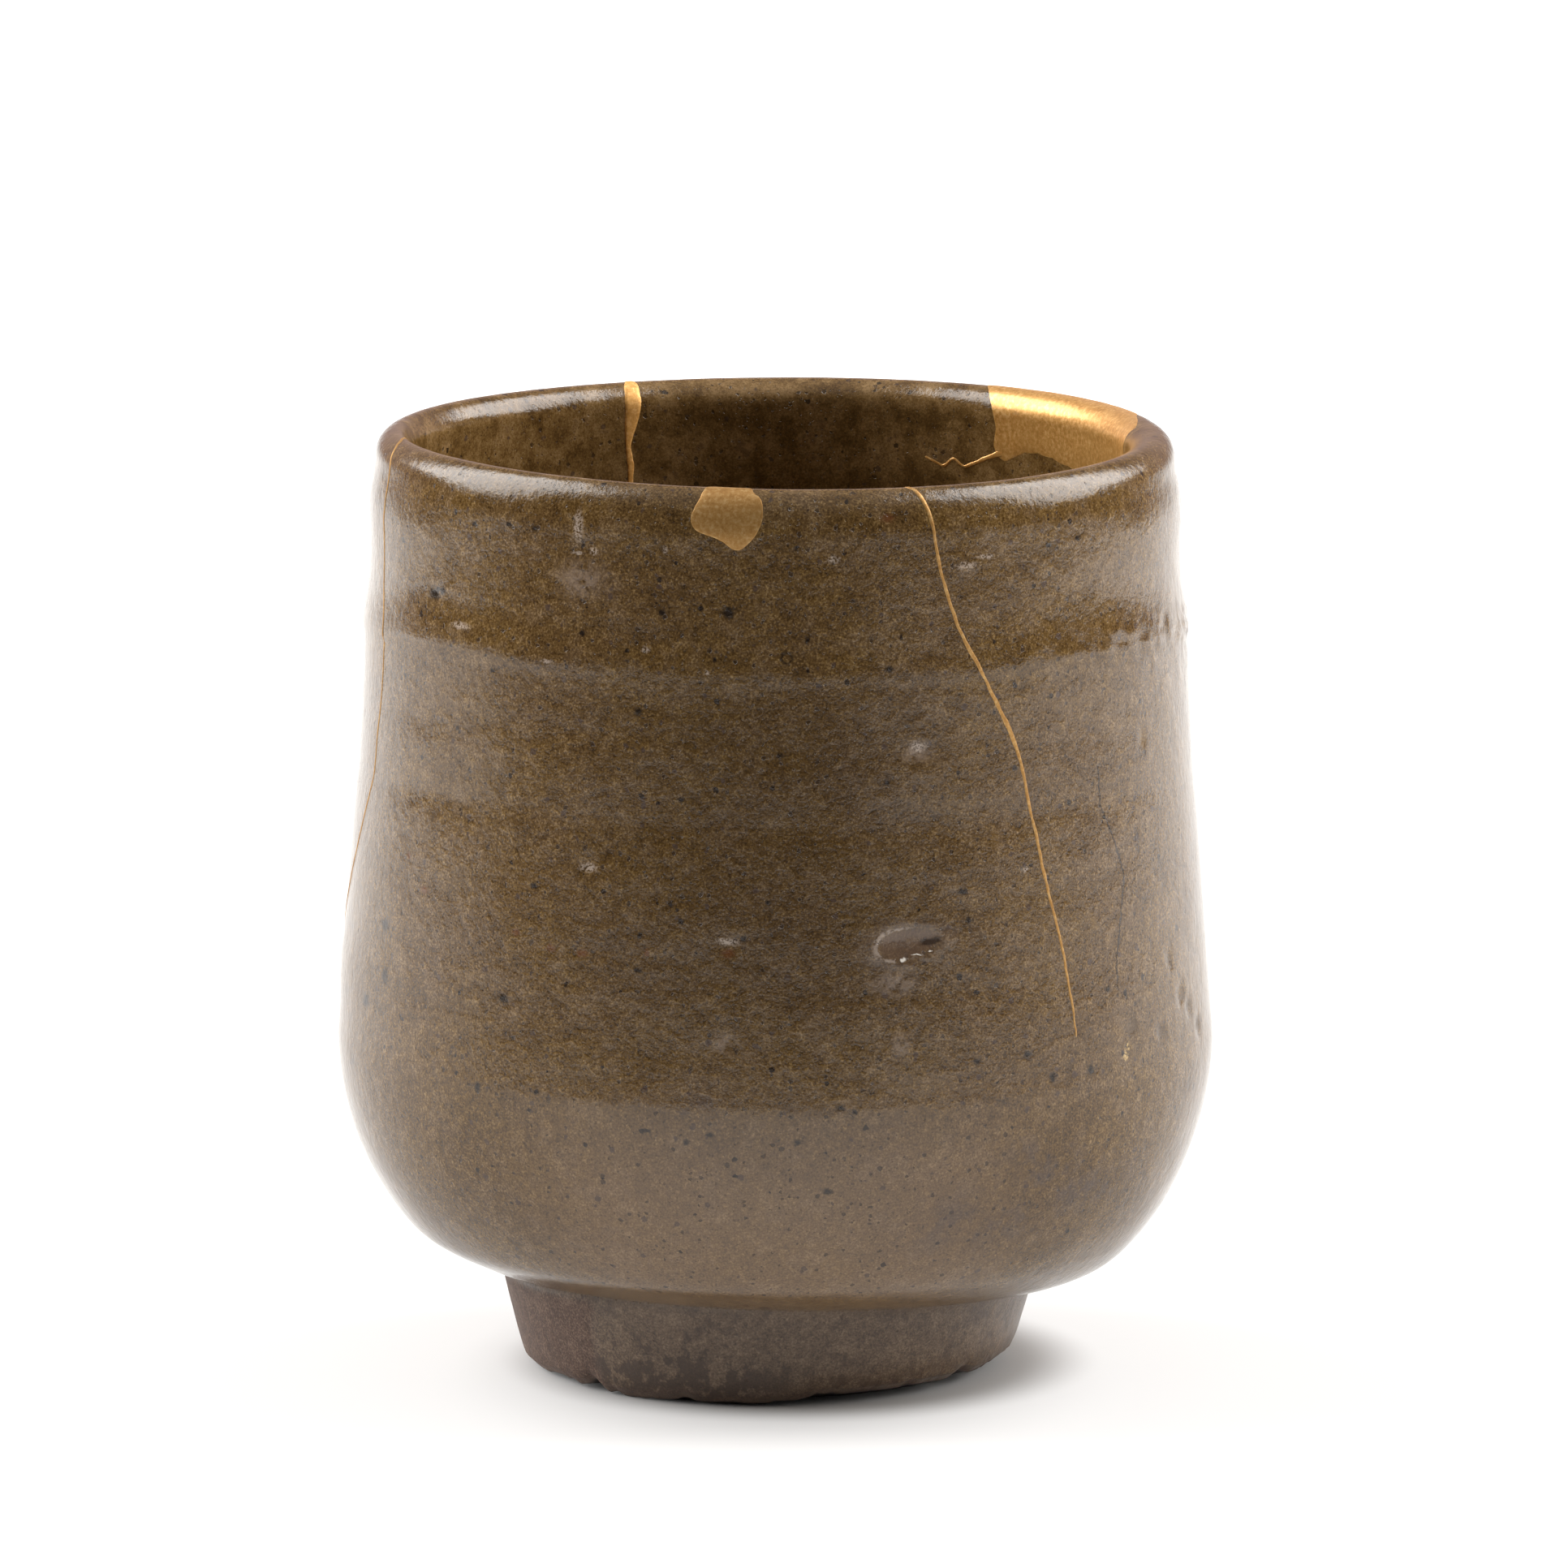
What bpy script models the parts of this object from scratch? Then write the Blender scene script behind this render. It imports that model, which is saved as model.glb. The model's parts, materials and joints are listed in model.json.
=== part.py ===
"""A handleless stoneware teacup with lacquer repairs.

Metres, +Z up. The origin is the centre of the underside of the foot, and -Y is the side shown to the viewer.
The cup is turned about +Z first. Chips and cracks are cut while it is still truly round, the repairs are made
to fit them, and one gentle, hand-thrown unevenness is then given to every piece alike.

Angles round the cup are in degrees: 0 is the front (-Y), 90 the right (+X), 180 the back, -90 the left.
A run is a distance along the surface from the top of the lip: positive down the outside, negative down
the inside.
"""
import math

import bmesh
import bpy
import numpy as np

# Height and lip
CUP_HEIGHT = 0.0862
LIP_OUTER_RADIUS = 0.0364
LIP_THICKNESS = 0.0044

# Belly and wall
BELLY_RADIUS = 0.0402
BELLY_HEIGHT = 0.0310
WALL_THICKNESS = 0.0048
WALL_HOLLOW = 0.0001
HAUNCH_POWER = 1.9
INSIDE_POWER = 2.3

# Throwing rings: how far below the lip's top, how proud, how tall above and below the crest
UPPER_RING_DROP = 0.0172
UPPER_RING_RELIEF = 0.00038
LOWER_RING_DROP = 0.0296
LOWER_RING_RELIEF = 0.00014
RING_RISE = 0.0017
RING_FALL = 0.0008

# Foot
FOOT_HEIGHT = 0.0084
FOOT_TOP_RADIUS = 0.0246
FOOT_BOTTOM_RADIUS = 0.0225
FOOT_BEVEL = 0.0008
FOOT_BAND_WIDTH = 0.0046
RECESS_DEPTH = 0.0050
RECESS_SLOPE = 0.0014
FLOOR_THICKNESS = 0.0070

# Hand-thrown unevenness: sides are compass angles in degrees from +X, turning towards +Y
FOOT_OFFSET = -0.00075
HAUNCH_OFFSET = 0.0005
FOOT_TILT_FRONT = 0.0012
FOOT_TILT_LEFT = 0.0006
HAUNCH_TOP = 0.0240
FOOT_TILT_TOP = 0.0140
OVAL = 0.00025
OVAL_SIDE = 17
LIP_TILT = 0.00035
LIP_TILT_SIDE = 165
LIP_WAVE = 0.00015
LIP_WAVE_SIDE = 30

# Repairs
REPAIR_CLEARANCE = 0.0003
SEAM_DEPTH = 0.0005
SEAM_PROUD = 0.00012
CUT_PROUD = 0.0012

# Missing rim shard, seen from the front: distances to the right of the lip's inner edge, and up from its top
RIM_BREAK_OUTLINE = (
    (-0.0122, 0.0030), (-0.0121, -0.0013), (-0.0115, -0.0035), (-0.0117, -0.0052), (-0.0112, -0.0064),
    (-0.0102, -0.0064), (-0.0089, -0.0055), (-0.0064, -0.0056), (-0.0034, -0.0062), (-0.0010, -0.0052),
    (0.0006, -0.0030), (0.0010, 0.0030),
)
RIM_BREAK_START = 0.0044

# Chip at the front of the lip: distances to the right of the middle, and up from the lip's top
CHIP_OUTLINE = (
    (-0.0054, 0.0016), (-0.0066, -0.0004), (-0.0073, -0.0020), (-0.0075, -0.0031), (-0.0068, -0.0038),
    (-0.0050, -0.0043), (-0.0039, -0.0050), (-0.0031, -0.0051), (-0.0021, -0.0041), (-0.0012, -0.0026),
    (-0.0013, -0.0009), (-0.0024, 0.0016),
)
CHIP_DEPTH = 0.0026

# Seams: points as (angle, run), with the widths that the gold has at the two ends
FRONT_RIGHT_CRACK = (
    (19.5, -0.0090), (20.0, -0.0010), (22.2, 0.0035), (24.0, 0.0086), (28.4, 0.0160), (34.1, 0.0232),
    (36.7, 0.0296), (38.8, 0.0365), (41.9, 0.0458), (42.8, 0.0520),
)
FRONT_RIGHT_WIDTHS = (0.0008, 0.0003)
LEFT_CRACK = (
    (-84.5, -0.0085), (-82.0, -0.0015), (-75.5, 0.0010), (-73.7, 0.0040), (-72.3, 0.0132), (-70.5, 0.0205),
    (-73.0, 0.0300), (-79.5, 0.0393), (-86.6, 0.0443), (-92.5, 0.0480),
)
LEFT_WIDTHS = (0.0004, 0.0003)
BACK_CRACK = ((-155.0, -0.0180), (-154.4, -0.0065), (-155.4, -0.0029), (-156.5, 0.0), (-157.5, 0.0120))
BACK_WIDTHS = (0.0006, 0.0004)
BACK_DROP_WIDTH = 0.0010
BACK_DROP_RUN = -0.0034
BACK_DROP_SPREAD = 0.0020
BRANCH_CRACK = ((138.2, -0.0070), (142.9, -0.0079), (146.7, -0.0088), (148.9, -0.0082), (151.8, -0.0088))
BRANCH_WIDTHS = (0.0006, 0.0003)

# Fineness of the faceting
TURN_STEPS = 60
SPLINE_STEPS = 3
SEAM_STEP = 0.0022
MERGE_DISTANCE = 0.000002

LIP_RADIUS = LIP_THICKNESS / 2
LIP_APEX_RADIUS = LIP_OUTER_RADIUS - LIP_RADIUS
LIP_INNER_RADIUS = LIP_OUTER_RADIUS - LIP_THICKNESS
LIP_SPRING = CUP_HEIGHT - LIP_RADIUS
FLOOR_TOP = RECESS_DEPTH + FLOOR_THICKNESS
CONTACT_OUTER_RADIUS = FOOT_BOTTOM_RADIUS - FOOT_BEVEL
CONTACT_INNER_RADIUS = CONTACT_OUTER_RADIUS - FOOT_BAND_WIDTH


def ring_relief(z, drop, relief):
    """Height of one throwing ring at height z: a soft rise above its crest and a shorter fall below it."""
    above = z - (CUP_HEIGHT - drop)
    reach = RING_RISE if above > 0 else RING_FALL
    return relief * math.exp(-(above / reach) ** 2)


def outer_wall_radius(z):
    """Outer radius between the lip and the belly: a straight taper, slightly hollow, with two rings."""
    share = (z - BELLY_HEIGHT) / (LIP_SPRING - BELLY_HEIGHT)
    taper = BELLY_RADIUS + (LIP_OUTER_RADIUS - BELLY_RADIUS) * share
    hollow = WALL_HOLLOW * math.sin(math.pi * share)
    rings = ring_relief(z, UPPER_RING_DROP, UPPER_RING_RELIEF) + ring_relief(z, LOWER_RING_DROP, LOWER_RING_RELIEF)
    return taper - hollow + rings


def quarter(start, end, power, steps):
    """Points of a quarter superellipse that leaves start upright and reaches end lying flat."""
    points = []
    for step in range(steps + 1):
        turn = math.pi / 2 * step / steps
        across = max(math.cos(turn), 0.0) ** (2 / power)
        down = max(math.sin(turn), 0.0) ** (2 / power)
        points.append((end[0] + (start[0] - end[0]) * across, start[1] + (end[1] - start[1]) * down))
    return points


def ring_heights(drop):
    """Heights at which one ring needs a point of the profile."""
    crest = CUP_HEIGHT - drop
    return [crest + 2 * RING_RISE, crest + 0.8 * RING_RISE, crest, crest - 0.8 * RING_FALL, crest - 2 * RING_FALL]


def outer_wall_points(steps):
    """Outer wall from the lip down to the belly: even steps, and closer ones at the rings."""
    even = [LIP_SPRING + (BELLY_HEIGHT - LIP_SPRING) * step / steps for step in range(1, steps)]
    rings = ring_heights(UPPER_RING_DROP) + ring_heights(LOWER_RING_DROP)
    clear = 2.4 * RING_RISE
    crests = (CUP_HEIGHT - UPPER_RING_DROP, CUP_HEIGHT - LOWER_RING_DROP)
    heights = [z for z in even if all(abs(z - crest) > clear for crest in crests)]
    heights += [z for z in rings if BELLY_HEIGHT < z < LIP_SPRING]
    return [(outer_wall_radius(z), z) for z in sorted(heights, reverse=True)]


def lip_points(steps):
    """Round lip from the inner wall over the top to the outer wall."""
    points = []
    for step in range(steps + 1):
        turn = math.pi * step / steps
        points.append((LIP_APEX_RADIUS - LIP_RADIUS * math.cos(turn), LIP_SPRING + LIP_RADIUS * math.sin(turn)))
    return points


def upper_profile(fine=1):
    """Meridian from the middle of the inner floor, up over the lip and down to the top of the foot."""
    inside_belly = (BELLY_RADIUS - WALL_THICKNESS, BELLY_HEIGHT)
    floor_middle = (0.0, FLOOR_TOP)
    bowl = quarter(inside_belly, floor_middle, INSIDE_POWER, 10 * fine)[::-1]
    wall = []
    for step in range(1, 5 * fine):
        share = step / (5 * fine)
        radius = inside_belly[0] + (LIP_INNER_RADIUS - inside_belly[0]) * share
        wall.append((radius, BELLY_HEIGHT + (LIP_SPRING - BELLY_HEIGHT) * share))
    haunch = quarter((BELLY_RADIUS, BELLY_HEIGHT), (FOOT_TOP_RADIUS, FOOT_HEIGHT), HAUNCH_POWER, 11 * fine)
    return bowl + wall + lip_points(8 * fine) + outer_wall_points(10 * fine) + haunch


def foot_profile():
    """Meridian from the outer side of the foot, under it and up into the recess to the axis."""
    recess_radius = CONTACT_INNER_RADIUS - FOOT_BEVEL - RECESS_SLOPE
    return [
        (FOOT_BOTTOM_RADIUS, FOOT_BEVEL),
        (CONTACT_OUTER_RADIUS, 0.0),
        (CONTACT_INNER_RADIUS, 0.0),
        (CONTACT_INNER_RADIUS - FOOT_BEVEL, FOOT_BEVEL),
        (recess_radius, RECESS_DEPTH - FOOT_BEVEL),
        (recess_radius - FOOT_BEVEL, RECESS_DEPTH),
        (recess_radius / 2, RECESS_DEPTH),
        (0.0, RECESS_DEPTH),
    ]


def smooth_step(low, high, value):
    """Soft change from 0 at low to 1 at high."""
    share = np.clip((value - low) / (high - low), 0.0, 1.0)
    return share * share * (3 - 2 * share)


def hand_thrown(points):
    """Give turned points the cup's unevenness: an offset, tilted foot, an oval wall and a wavy lip."""
    x, y, z = points.T
    radius = np.hypot(x, y)
    angle = np.arctan2(y, x)
    rise = smooth_step(0.0, CUP_HEIGHT, z)
    foot = 1 - smooth_step(FOOT_HEIGHT * 0.85, FOOT_HEIGHT * 1.2, z)
    haunch = smooth_step(FOOT_HEIGHT * 0.9, FOOT_HEIGHT * 1.2, z) * (1 - smooth_step(FOOT_HEIGHT, HAUNCH_TOP, z))
    junction = smooth_step(FOOT_BEVEL, FOOT_HEIGHT, z) * (1 - smooth_step(FOOT_HEIGHT, FOOT_TILT_TOP, z))
    junction *= smooth_step(CONTACT_INNER_RADIUS, FOOT_TOP_RADIUS, radius)
    oval = 1 + OVAL / BELLY_RADIUS * rise * np.cos(2 * (angle - math.radians(OVAL_SIDE)))
    new_x = x * oval + FOOT_OFFSET * foot + HAUNCH_OFFSET * haunch
    new_y = y * oval
    lip = LIP_TILT * np.cos(angle - math.radians(LIP_TILT_SIDE))
    lip += LIP_WAVE * np.cos(2 * (angle - math.radians(LIP_WAVE_SIDE)))
    tilt = junction * (-FOOT_TILT_FRONT * y - FOOT_TILT_LEFT * x) / FOOT_TOP_RADIUS
    return np.stack([new_x, new_y, z + lip * rise + tilt], axis=1)


def meridian_table():
    """Fine meridian of the wall with its run from the top of the lip."""
    points = np.array(upper_profile(fine=6))
    lengths = np.concatenate([[0.0], np.cumsum(np.hypot(*np.diff(points, axis=0).T))])
    apex = np.argmax(points[:, 1])
    return lengths - lengths[apex], points


def wall_frames(angles, runs):
    """Points on the wall at the given angles and runs, with the outward normal of each."""
    table_runs, table = meridian_table()
    radius = np.interp(runs, table_runs, table[:, 0])
    height = np.interp(runs, table_runs, table[:, 1])
    step = LIP_RADIUS / 10
    along_r = np.interp(runs + step, table_runs, table[:, 0]) - np.interp(runs - step, table_runs, table[:, 0])
    along_z = np.interp(runs + step, table_runs, table[:, 1]) - np.interp(runs - step, table_runs, table[:, 1])
    size = np.hypot(along_r, along_z)
    turn = np.radians(angles)
    outward = np.stack([np.sin(turn), -np.cos(turn), np.zeros_like(turn)], axis=1)
    upward = np.array([0.0, 0.0, 1.0])
    points = outward * radius[:, None] + upward * height[:, None]
    normals = outward * (-along_z / size)[:, None] + upward * (along_r / size)[:, None]
    return points, normals


def smooth_path(points, closed, steps):
    """Catmull-Rom curve through the points, with the given number of steps in each span."""
    points = np.array(points)
    if closed:
        padded = np.vstack([points[-1:], points, points[:2]])
    else:
        padded = np.vstack([2 * points[0] - points[1], points, 2 * points[-1] - points[-2]])
    path = []
    for start in range(len(padded) - 3):
        p0, p1, p2, p3 = padded[start:start + 4]
        for step in range(steps):
            t = step / steps
            path.append(0.5 * (2 * p1 + (p2 - p0) * t + (2 * p0 - 5 * p1 + 4 * p2 - p3) * t ** 2
                               + (3 * p1 - p0 - 3 * p2 + p3) * t ** 3))
    if not closed:
        path.append(points[-1])
    return np.array(path)


def link(obj, collection):
    """Put the object in one collection only."""
    for holder in list(obj.users_collection):
        holder.objects.unlink(obj)
    collection.objects.link(obj)
    return obj


def mesh_object(name, vertices, edges, faces, collection):
    """New mesh object from its elements."""
    mesh = bpy.data.meshes.new(name)
    mesh.from_pydata(vertices, edges, faces)
    return link_new(name, mesh, collection)


def link_new(name, data, collection):
    """New object with this data in the collection."""
    obj = bpy.data.objects.new(name, data)
    collection.objects.link(obj)
    return obj


def settle(obj, name, collection):
    """Object of the evaluated shape, with its seams welded, in place of the given object."""
    graph = bpy.context.evaluated_depsgraph_get()
    mesh = bpy.data.meshes.new_from_object(obj.evaluated_get(graph))
    work = bmesh.new()
    work.from_mesh(mesh)
    bmesh.ops.remove_doubles(work, verts=work.verts, dist=MERGE_DISTANCE)
    bmesh.ops.recalc_face_normals(work, faces=work.faces)
    work.to_mesh(mesh)
    work.free()
    new = link_new(name, mesh, collection)
    new.matrix_world = obj.matrix_world.copy()
    bpy.data.objects.remove(obj)
    return new


def turned_body(name, collection):
    """Solid cup turned from its meridian."""
    profile = upper_profile() + foot_profile()
    vertices = [(radius, 0.0, height) for radius, height in profile]
    edges = [(index, index + 1) for index in range(len(vertices) - 1)]
    obj = mesh_object(name + "_profile", vertices, edges, [], collection)
    screw = obj.modifiers.new("Turn", "SCREW")
    screw.axis = "Z"
    screw.steps = TURN_STEPS
    screw.render_steps = TURN_STEPS
    screw.use_merge_vertices = True
    screw.merge_threshold = MERGE_DISTANCE
    return settle(obj, name, collection)


def inset(outline, distance):
    """Closed outline moved inwards by the distance, corner by corner."""
    forward = np.roll(outline, -1, axis=0) - outline
    forward /= np.linalg.norm(forward, axis=1)[:, None]
    backward = np.roll(forward, 1, axis=0)
    area = 0.5 * np.sum(outline[:, 0] * np.roll(outline[:, 1], -1) - np.roll(outline[:, 0], -1) * outline[:, 1])
    side = math.copysign(1.0, area)
    normal_in = side * np.stack([-forward[:, 1], forward[:, 0]], axis=1)
    normal_back = side * np.stack([-backward[:, 1], backward[:, 0]], axis=1)
    middle = normal_in + normal_back
    middle /= np.linalg.norm(middle, axis=1)[:, None]
    reach = distance / np.maximum(np.sum(middle * normal_in, axis=1), 0.5)
    return outline + middle * reach[:, None]


def prism(name, outline, near, far, collection):
    """Flat outline seen from the front, carried along Y from near to far."""
    curve = bpy.data.curves.new(name, "CURVE")
    curve.dimensions = "2D"
    curve.fill_mode = "BOTH"
    curve.extrude = (far - near) / 2
    spline = curve.splines.new("POLY")
    spline.points.add(len(outline) - 1)
    for point, (x, z) in zip(spline.points, outline):
        point.co = (x, z, 0.0, 1.0)
    spline.use_cyclic_u = True
    obj = link_new(name + "_outline", curve, collection)
    obj.rotation_euler = (math.pi / 2, 0.0, 0.0)
    obj.location = (0.0, (near + far) / 2, 0.0)
    bpy.context.view_layer.update()
    return settle(obj, name, collection)


def seam_width(run, share, widths, drop):
    """Width of the gold along a seam: an even taper, and for a drop a swelling round one place."""
    width = widths[0] + (widths[1] - widths[0]) * share
    if drop:
        width += BACK_DROP_WIDTH * np.exp(-((run - BACK_DROP_RUN) / BACK_DROP_SPREAD) ** 2)
    return width


def seam_strip(name, crack, widths, collection, drop=False, margin=0.0, depth=SEAM_DEPTH, proud=SEAM_PROUD):
    """Strip that follows a crack over the wall, let in by depth and standing proud of it."""
    rough = smooth_path(crack, False, 8)
    points, _ = wall_frames(rough[:, 0], rough[:, 1])
    lengths = np.concatenate([[0.0], np.cumsum(np.linalg.norm(np.diff(points, axis=0), axis=1))])
    count = max(4, int(round(lengths[-1] / SEAM_STEP)))
    places = np.linspace(0.0, lengths[-1], count + 1)
    path = np.stack([np.interp(places, lengths, rough[:, 0]), np.interp(places, lengths, rough[:, 1])], axis=1)
    if margin:
        first = path[0] + (path[0] - path[1]) * margin / (places[1] - places[0])
        last = path[-1] + (path[-1] - path[-2]) * margin / (places[-1] - places[-2])
        path = np.vstack([first, path, last])
        places = np.concatenate([[0.0], places, [places[-1]]])
    points, normals = wall_frames(path[:, 0], path[:, 1])
    ahead = np.gradient(points, axis=0)
    across = np.cross(normals, ahead)
    across /= np.linalg.norm(across, axis=1)[:, None]
    half = (seam_width(path[:, 1], places / places[-1], widths, drop) / 2 + margin)[:, None]
    vertices = np.concatenate([points - across * half, points + across * half])
    rows = len(path)
    faces = [(i, i + 1, rows + i + 1, rows + i) for i in range(rows - 1)]
    obj = mesh_object(name + "_band", vertices.tolist(), [], faces, collection)
    solid = obj.modifiers.new("Thickness", "SOLIDIFY")
    solid.thickness = depth + proud
    solid.offset = (proud - depth) / (proud + depth)
    return settle(obj, name, collection)


def combine(obj, other, operation):
    """Boolean of two objects as a modifier."""
    step = obj.modifiers.new(operation.title(), "BOOLEAN")
    step.operation = operation
    step.object = other
    step.solver = "EXACT"


def finish(obj, name, material, collection):
    """Apply the cuts, give the piece its unevenness and its material, and shade it smooth."""
    new = settle(obj, name, collection)
    work = bmesh.new()
    work.from_mesh(new.data)
    bmesh.ops.dissolve_degenerate(work, dist=MERGE_DISTANCE, edges=work.edges)
    bmesh.ops.triangulate(work, faces=work.faces)
    work.to_mesh(new.data)
    work.free()
    points = np.empty(len(new.data.vertices) * 3)
    new.data.vertices.foreach_get("co", points)
    new.data.vertices.foreach_set("co", hand_thrown(points.reshape(-1, 3)).ravel())
    new.data.materials.clear()
    new.data.materials.append(material)
    new.data.shade_smooth()
    new.data.set_sharp_from_angle(angle=math.radians(35))
    return new


def principled(name, colour, roughness, metallic):
    """Plain material."""
    material = bpy.data.materials.new(name)
    material.use_nodes = True
    shader = material.node_tree.nodes["Principled BSDF"]
    shader.inputs["Base Color"].default_value = (*colour, 1.0)
    shader.inputs["Roughness"].default_value = roughness
    shader.inputs["Metallic"].default_value = metallic
    return material


def build():
    """Model the cup and its repairs."""
    for obj in list(bpy.data.objects):
        bpy.data.objects.remove(obj)
    cup = bpy.data.collections.new("Repaired teacup")
    tools = bpy.data.collections.new("Cutters")
    for collection in (cup, tools):
        bpy.context.scene.collection.children.link(collection)
    glaze = principled("Ash glaze", (0.16, 0.12, 0.085), 0.38, 0.0)
    gold = principled("Gold lacquer", (0.78, 0.56, 0.25), 0.32, 1.0)

    body = turned_body("turned_cup", tools)
    outside = LIP_OUTER_RADIUS + CUT_PROUD

    # The shard that is missing from the rim, with the crack that runs on from it
    rim_outline = smooth_path(RIM_BREAK_OUTLINE, True, SPLINE_STEPS)
    rim_outline += np.array([LIP_INNER_RADIUS, CUP_HEIGHT])
    rim_break = prism("rim_break", rim_outline, RIM_BREAK_START, outside, tools)
    rim_core = prism("rim_core", inset(rim_outline, REPAIR_CLEARANCE), RIM_BREAK_START + REPAIR_CLEARANCE,
                     outside + REPAIR_CLEARANCE, tools)
    rim_fill = link_new("rim_fill", body.data.copy(), tools)
    combine(rim_fill, rim_core, "INTERSECT")
    branch = seam_strip("branch", BRANCH_CRACK, BRANCH_WIDTHS, tools)
    combine(rim_fill, branch, "UNION")
    branch_groove = seam_strip("branch_groove", BRANCH_CRACK, BRANCH_WIDTHS, tools, margin=REPAIR_CLEARANCE,
                               depth=SEAM_DEPTH + REPAIR_CLEARANCE, proud=CUT_PROUD)

    # The chip at the front of the lip
    chip_outline = smooth_path(CHIP_OUTLINE, True, SPLINE_STEPS) + np.array([0.0, CUP_HEIGHT])
    chip_back = -(LIP_OUTER_RADIUS - CHIP_DEPTH)
    chip = prism("chip", chip_outline, -outside, chip_back, tools)
    chip_core = prism("chip_core", inset(chip_outline, REPAIR_CLEARANCE), -outside - REPAIR_CLEARANCE,
                      chip_back - REPAIR_CLEARANCE, tools)
    chip_fill = link_new("chip_fill", body.data.copy(), tools)
    combine(chip_fill, chip_core, "INTERSECT")

    # The filled cracks
    cracks = (
        ("front_right_seam", FRONT_RIGHT_CRACK, FRONT_RIGHT_WIDTHS, False),
        ("left_seam", LEFT_CRACK, LEFT_WIDTHS, False),
        ("back_seam", BACK_CRACK, BACK_WIDTHS, True),
    )
    seams = []
    cutters = [rim_break, chip, branch_groove]
    for name, crack, widths, drop in cracks:
        seams.append((name, seam_strip(name + "_strip", crack, widths, tools, drop)))
        cutters.append(seam_strip(name + "_groove", crack, widths, tools, drop, REPAIR_CLEARANCE,
                                  SEAM_DEPTH + REPAIR_CLEARANCE, CUT_PROUD))
    for cutter in cutters:
        combine(body, cutter, "DIFFERENCE")

    finish(body, "cup_body", glaze, cup)
    finish(rim_fill, "rim_break_fill", gold, cup)
    finish(chip_fill, "front_chip_fill", gold, cup)
    for name, strip in seams:
        finish(strip, name, gold, cup)
    for tool in tools.objects:
        tool.hide_render = True
        tool.display_type = "WIRE"


build()
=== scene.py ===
# %% [markdown]
# # A repaired stoneware teacup
# This lesson dresses one small object: a cup without a handle, thrown on a wheel, dipped in a thin ash glaze
# and later mended with lacquer and gold powder. The plain solids of the cup come first and fix its size.
# Everything made here is a fine surface laid over them, so the cup keeps its place and its measure.

# %% Load the frame and note its size
import json
import math

import bpy
import numpy as np
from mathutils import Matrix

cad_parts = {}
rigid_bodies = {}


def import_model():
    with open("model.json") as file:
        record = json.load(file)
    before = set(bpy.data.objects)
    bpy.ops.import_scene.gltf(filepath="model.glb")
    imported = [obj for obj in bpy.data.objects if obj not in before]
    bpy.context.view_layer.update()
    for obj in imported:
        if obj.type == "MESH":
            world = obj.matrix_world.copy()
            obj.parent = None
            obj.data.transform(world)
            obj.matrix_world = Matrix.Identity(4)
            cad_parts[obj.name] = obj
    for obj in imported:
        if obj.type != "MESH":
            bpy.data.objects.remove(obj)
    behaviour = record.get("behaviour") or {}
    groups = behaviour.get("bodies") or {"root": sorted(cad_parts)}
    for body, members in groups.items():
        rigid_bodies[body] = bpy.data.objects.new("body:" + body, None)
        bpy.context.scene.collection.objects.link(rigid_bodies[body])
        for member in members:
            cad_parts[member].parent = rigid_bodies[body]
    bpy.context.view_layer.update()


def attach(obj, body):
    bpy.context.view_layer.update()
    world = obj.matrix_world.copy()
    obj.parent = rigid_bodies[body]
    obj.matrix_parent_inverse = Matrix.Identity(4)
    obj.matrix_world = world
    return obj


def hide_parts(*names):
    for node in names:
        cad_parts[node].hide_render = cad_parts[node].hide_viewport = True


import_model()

# %% [markdown]
# ## The sizes
# A potter would give the cup as a few numbers: its height, the radius of the lip and of the belly, the foot.
# Writing them once, in metres, lets every later surface be worked out from the same values. A "drop" is a
# distance below the top of the lip, and a "run" is a distance along the clay from the top of the lip:
# positive down the outside and negative down the inside. Angles are in degrees: 0 is the front, 90 the right.

# %% Sizes of the cup
MM = 0.001
CUP_HEIGHT = 86.2 * MM
LIP_OUTER_RADIUS = 36.4 * MM
LIP_THICKNESS = 4.4 * MM
BELLY_RADIUS = 40.2 * MM
BELLY_HEIGHT = 31.0 * MM
WALL_THICKNESS = 4.8 * MM
WALL_HOLLOW = 0.1 * MM
HAUNCH_POWER = 1.93
INSIDE_POWER = 2.3
FOOT_HEIGHT = 8.4 * MM
FOOT_TOP_RADIUS = 24.6 * MM
FOOT_BOTTOM_RADIUS = 22.5 * MM
FOOT_BEVEL = 0.8 * MM
FOOT_BAND_WIDTH = 4.6 * MM
RECESS_DEPTH = 5.0 * MM
RECESS_SLOPE = 1.4 * MM
FLOOR_THICKNESS = 7.0 * MM
CONTACT_OUTER = FOOT_BOTTOM_RADIUS - FOOT_BEVEL
CONTACT_INNER = CONTACT_OUTER - FOOT_BAND_WIDTH
LIP_INNER_RADIUS = LIP_OUTER_RADIUS - LIP_THICKNESS
LIP_RADIUS = LIP_THICKNESS / 2
LIP_SPRING = CUP_HEIGHT - LIP_RADIUS
APEX_RADIUS = LIP_INNER_RADIUS + LIP_RADIUS + 0.1 * MM
FRONT_APEX_RADIUS = LIP_INNER_RADIUS + 1.9 * MM
FRONT_OUTER_DROP = 4.8 * MM
FRONT_INNER_DROP = 2.8 * MM
print("wall at the lip:", LIP_THICKNESS, "inner radius at the lip:", LIP_INNER_RADIUS)

# %% [markdown]
# ## The meridian
# A wheel-thrown cup is one line turned round an axis. That line, the meridian, starts in the middle of the
# inner floor, climbs the inner wall, rounds the lip, comes down the outside over two throwing rings, tucks
# in to the foot and ends in the hollow under the cup. It could be drawn as a curve object; worked out with
# numpy it can be as fine as wanted, and the same line later carries the gold as well.

# %% The throwing rings and the outer wall
UPPER_RING_DROP = 17.2 * MM
LOWER_RING_DROP = 29.9 * MM
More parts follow.
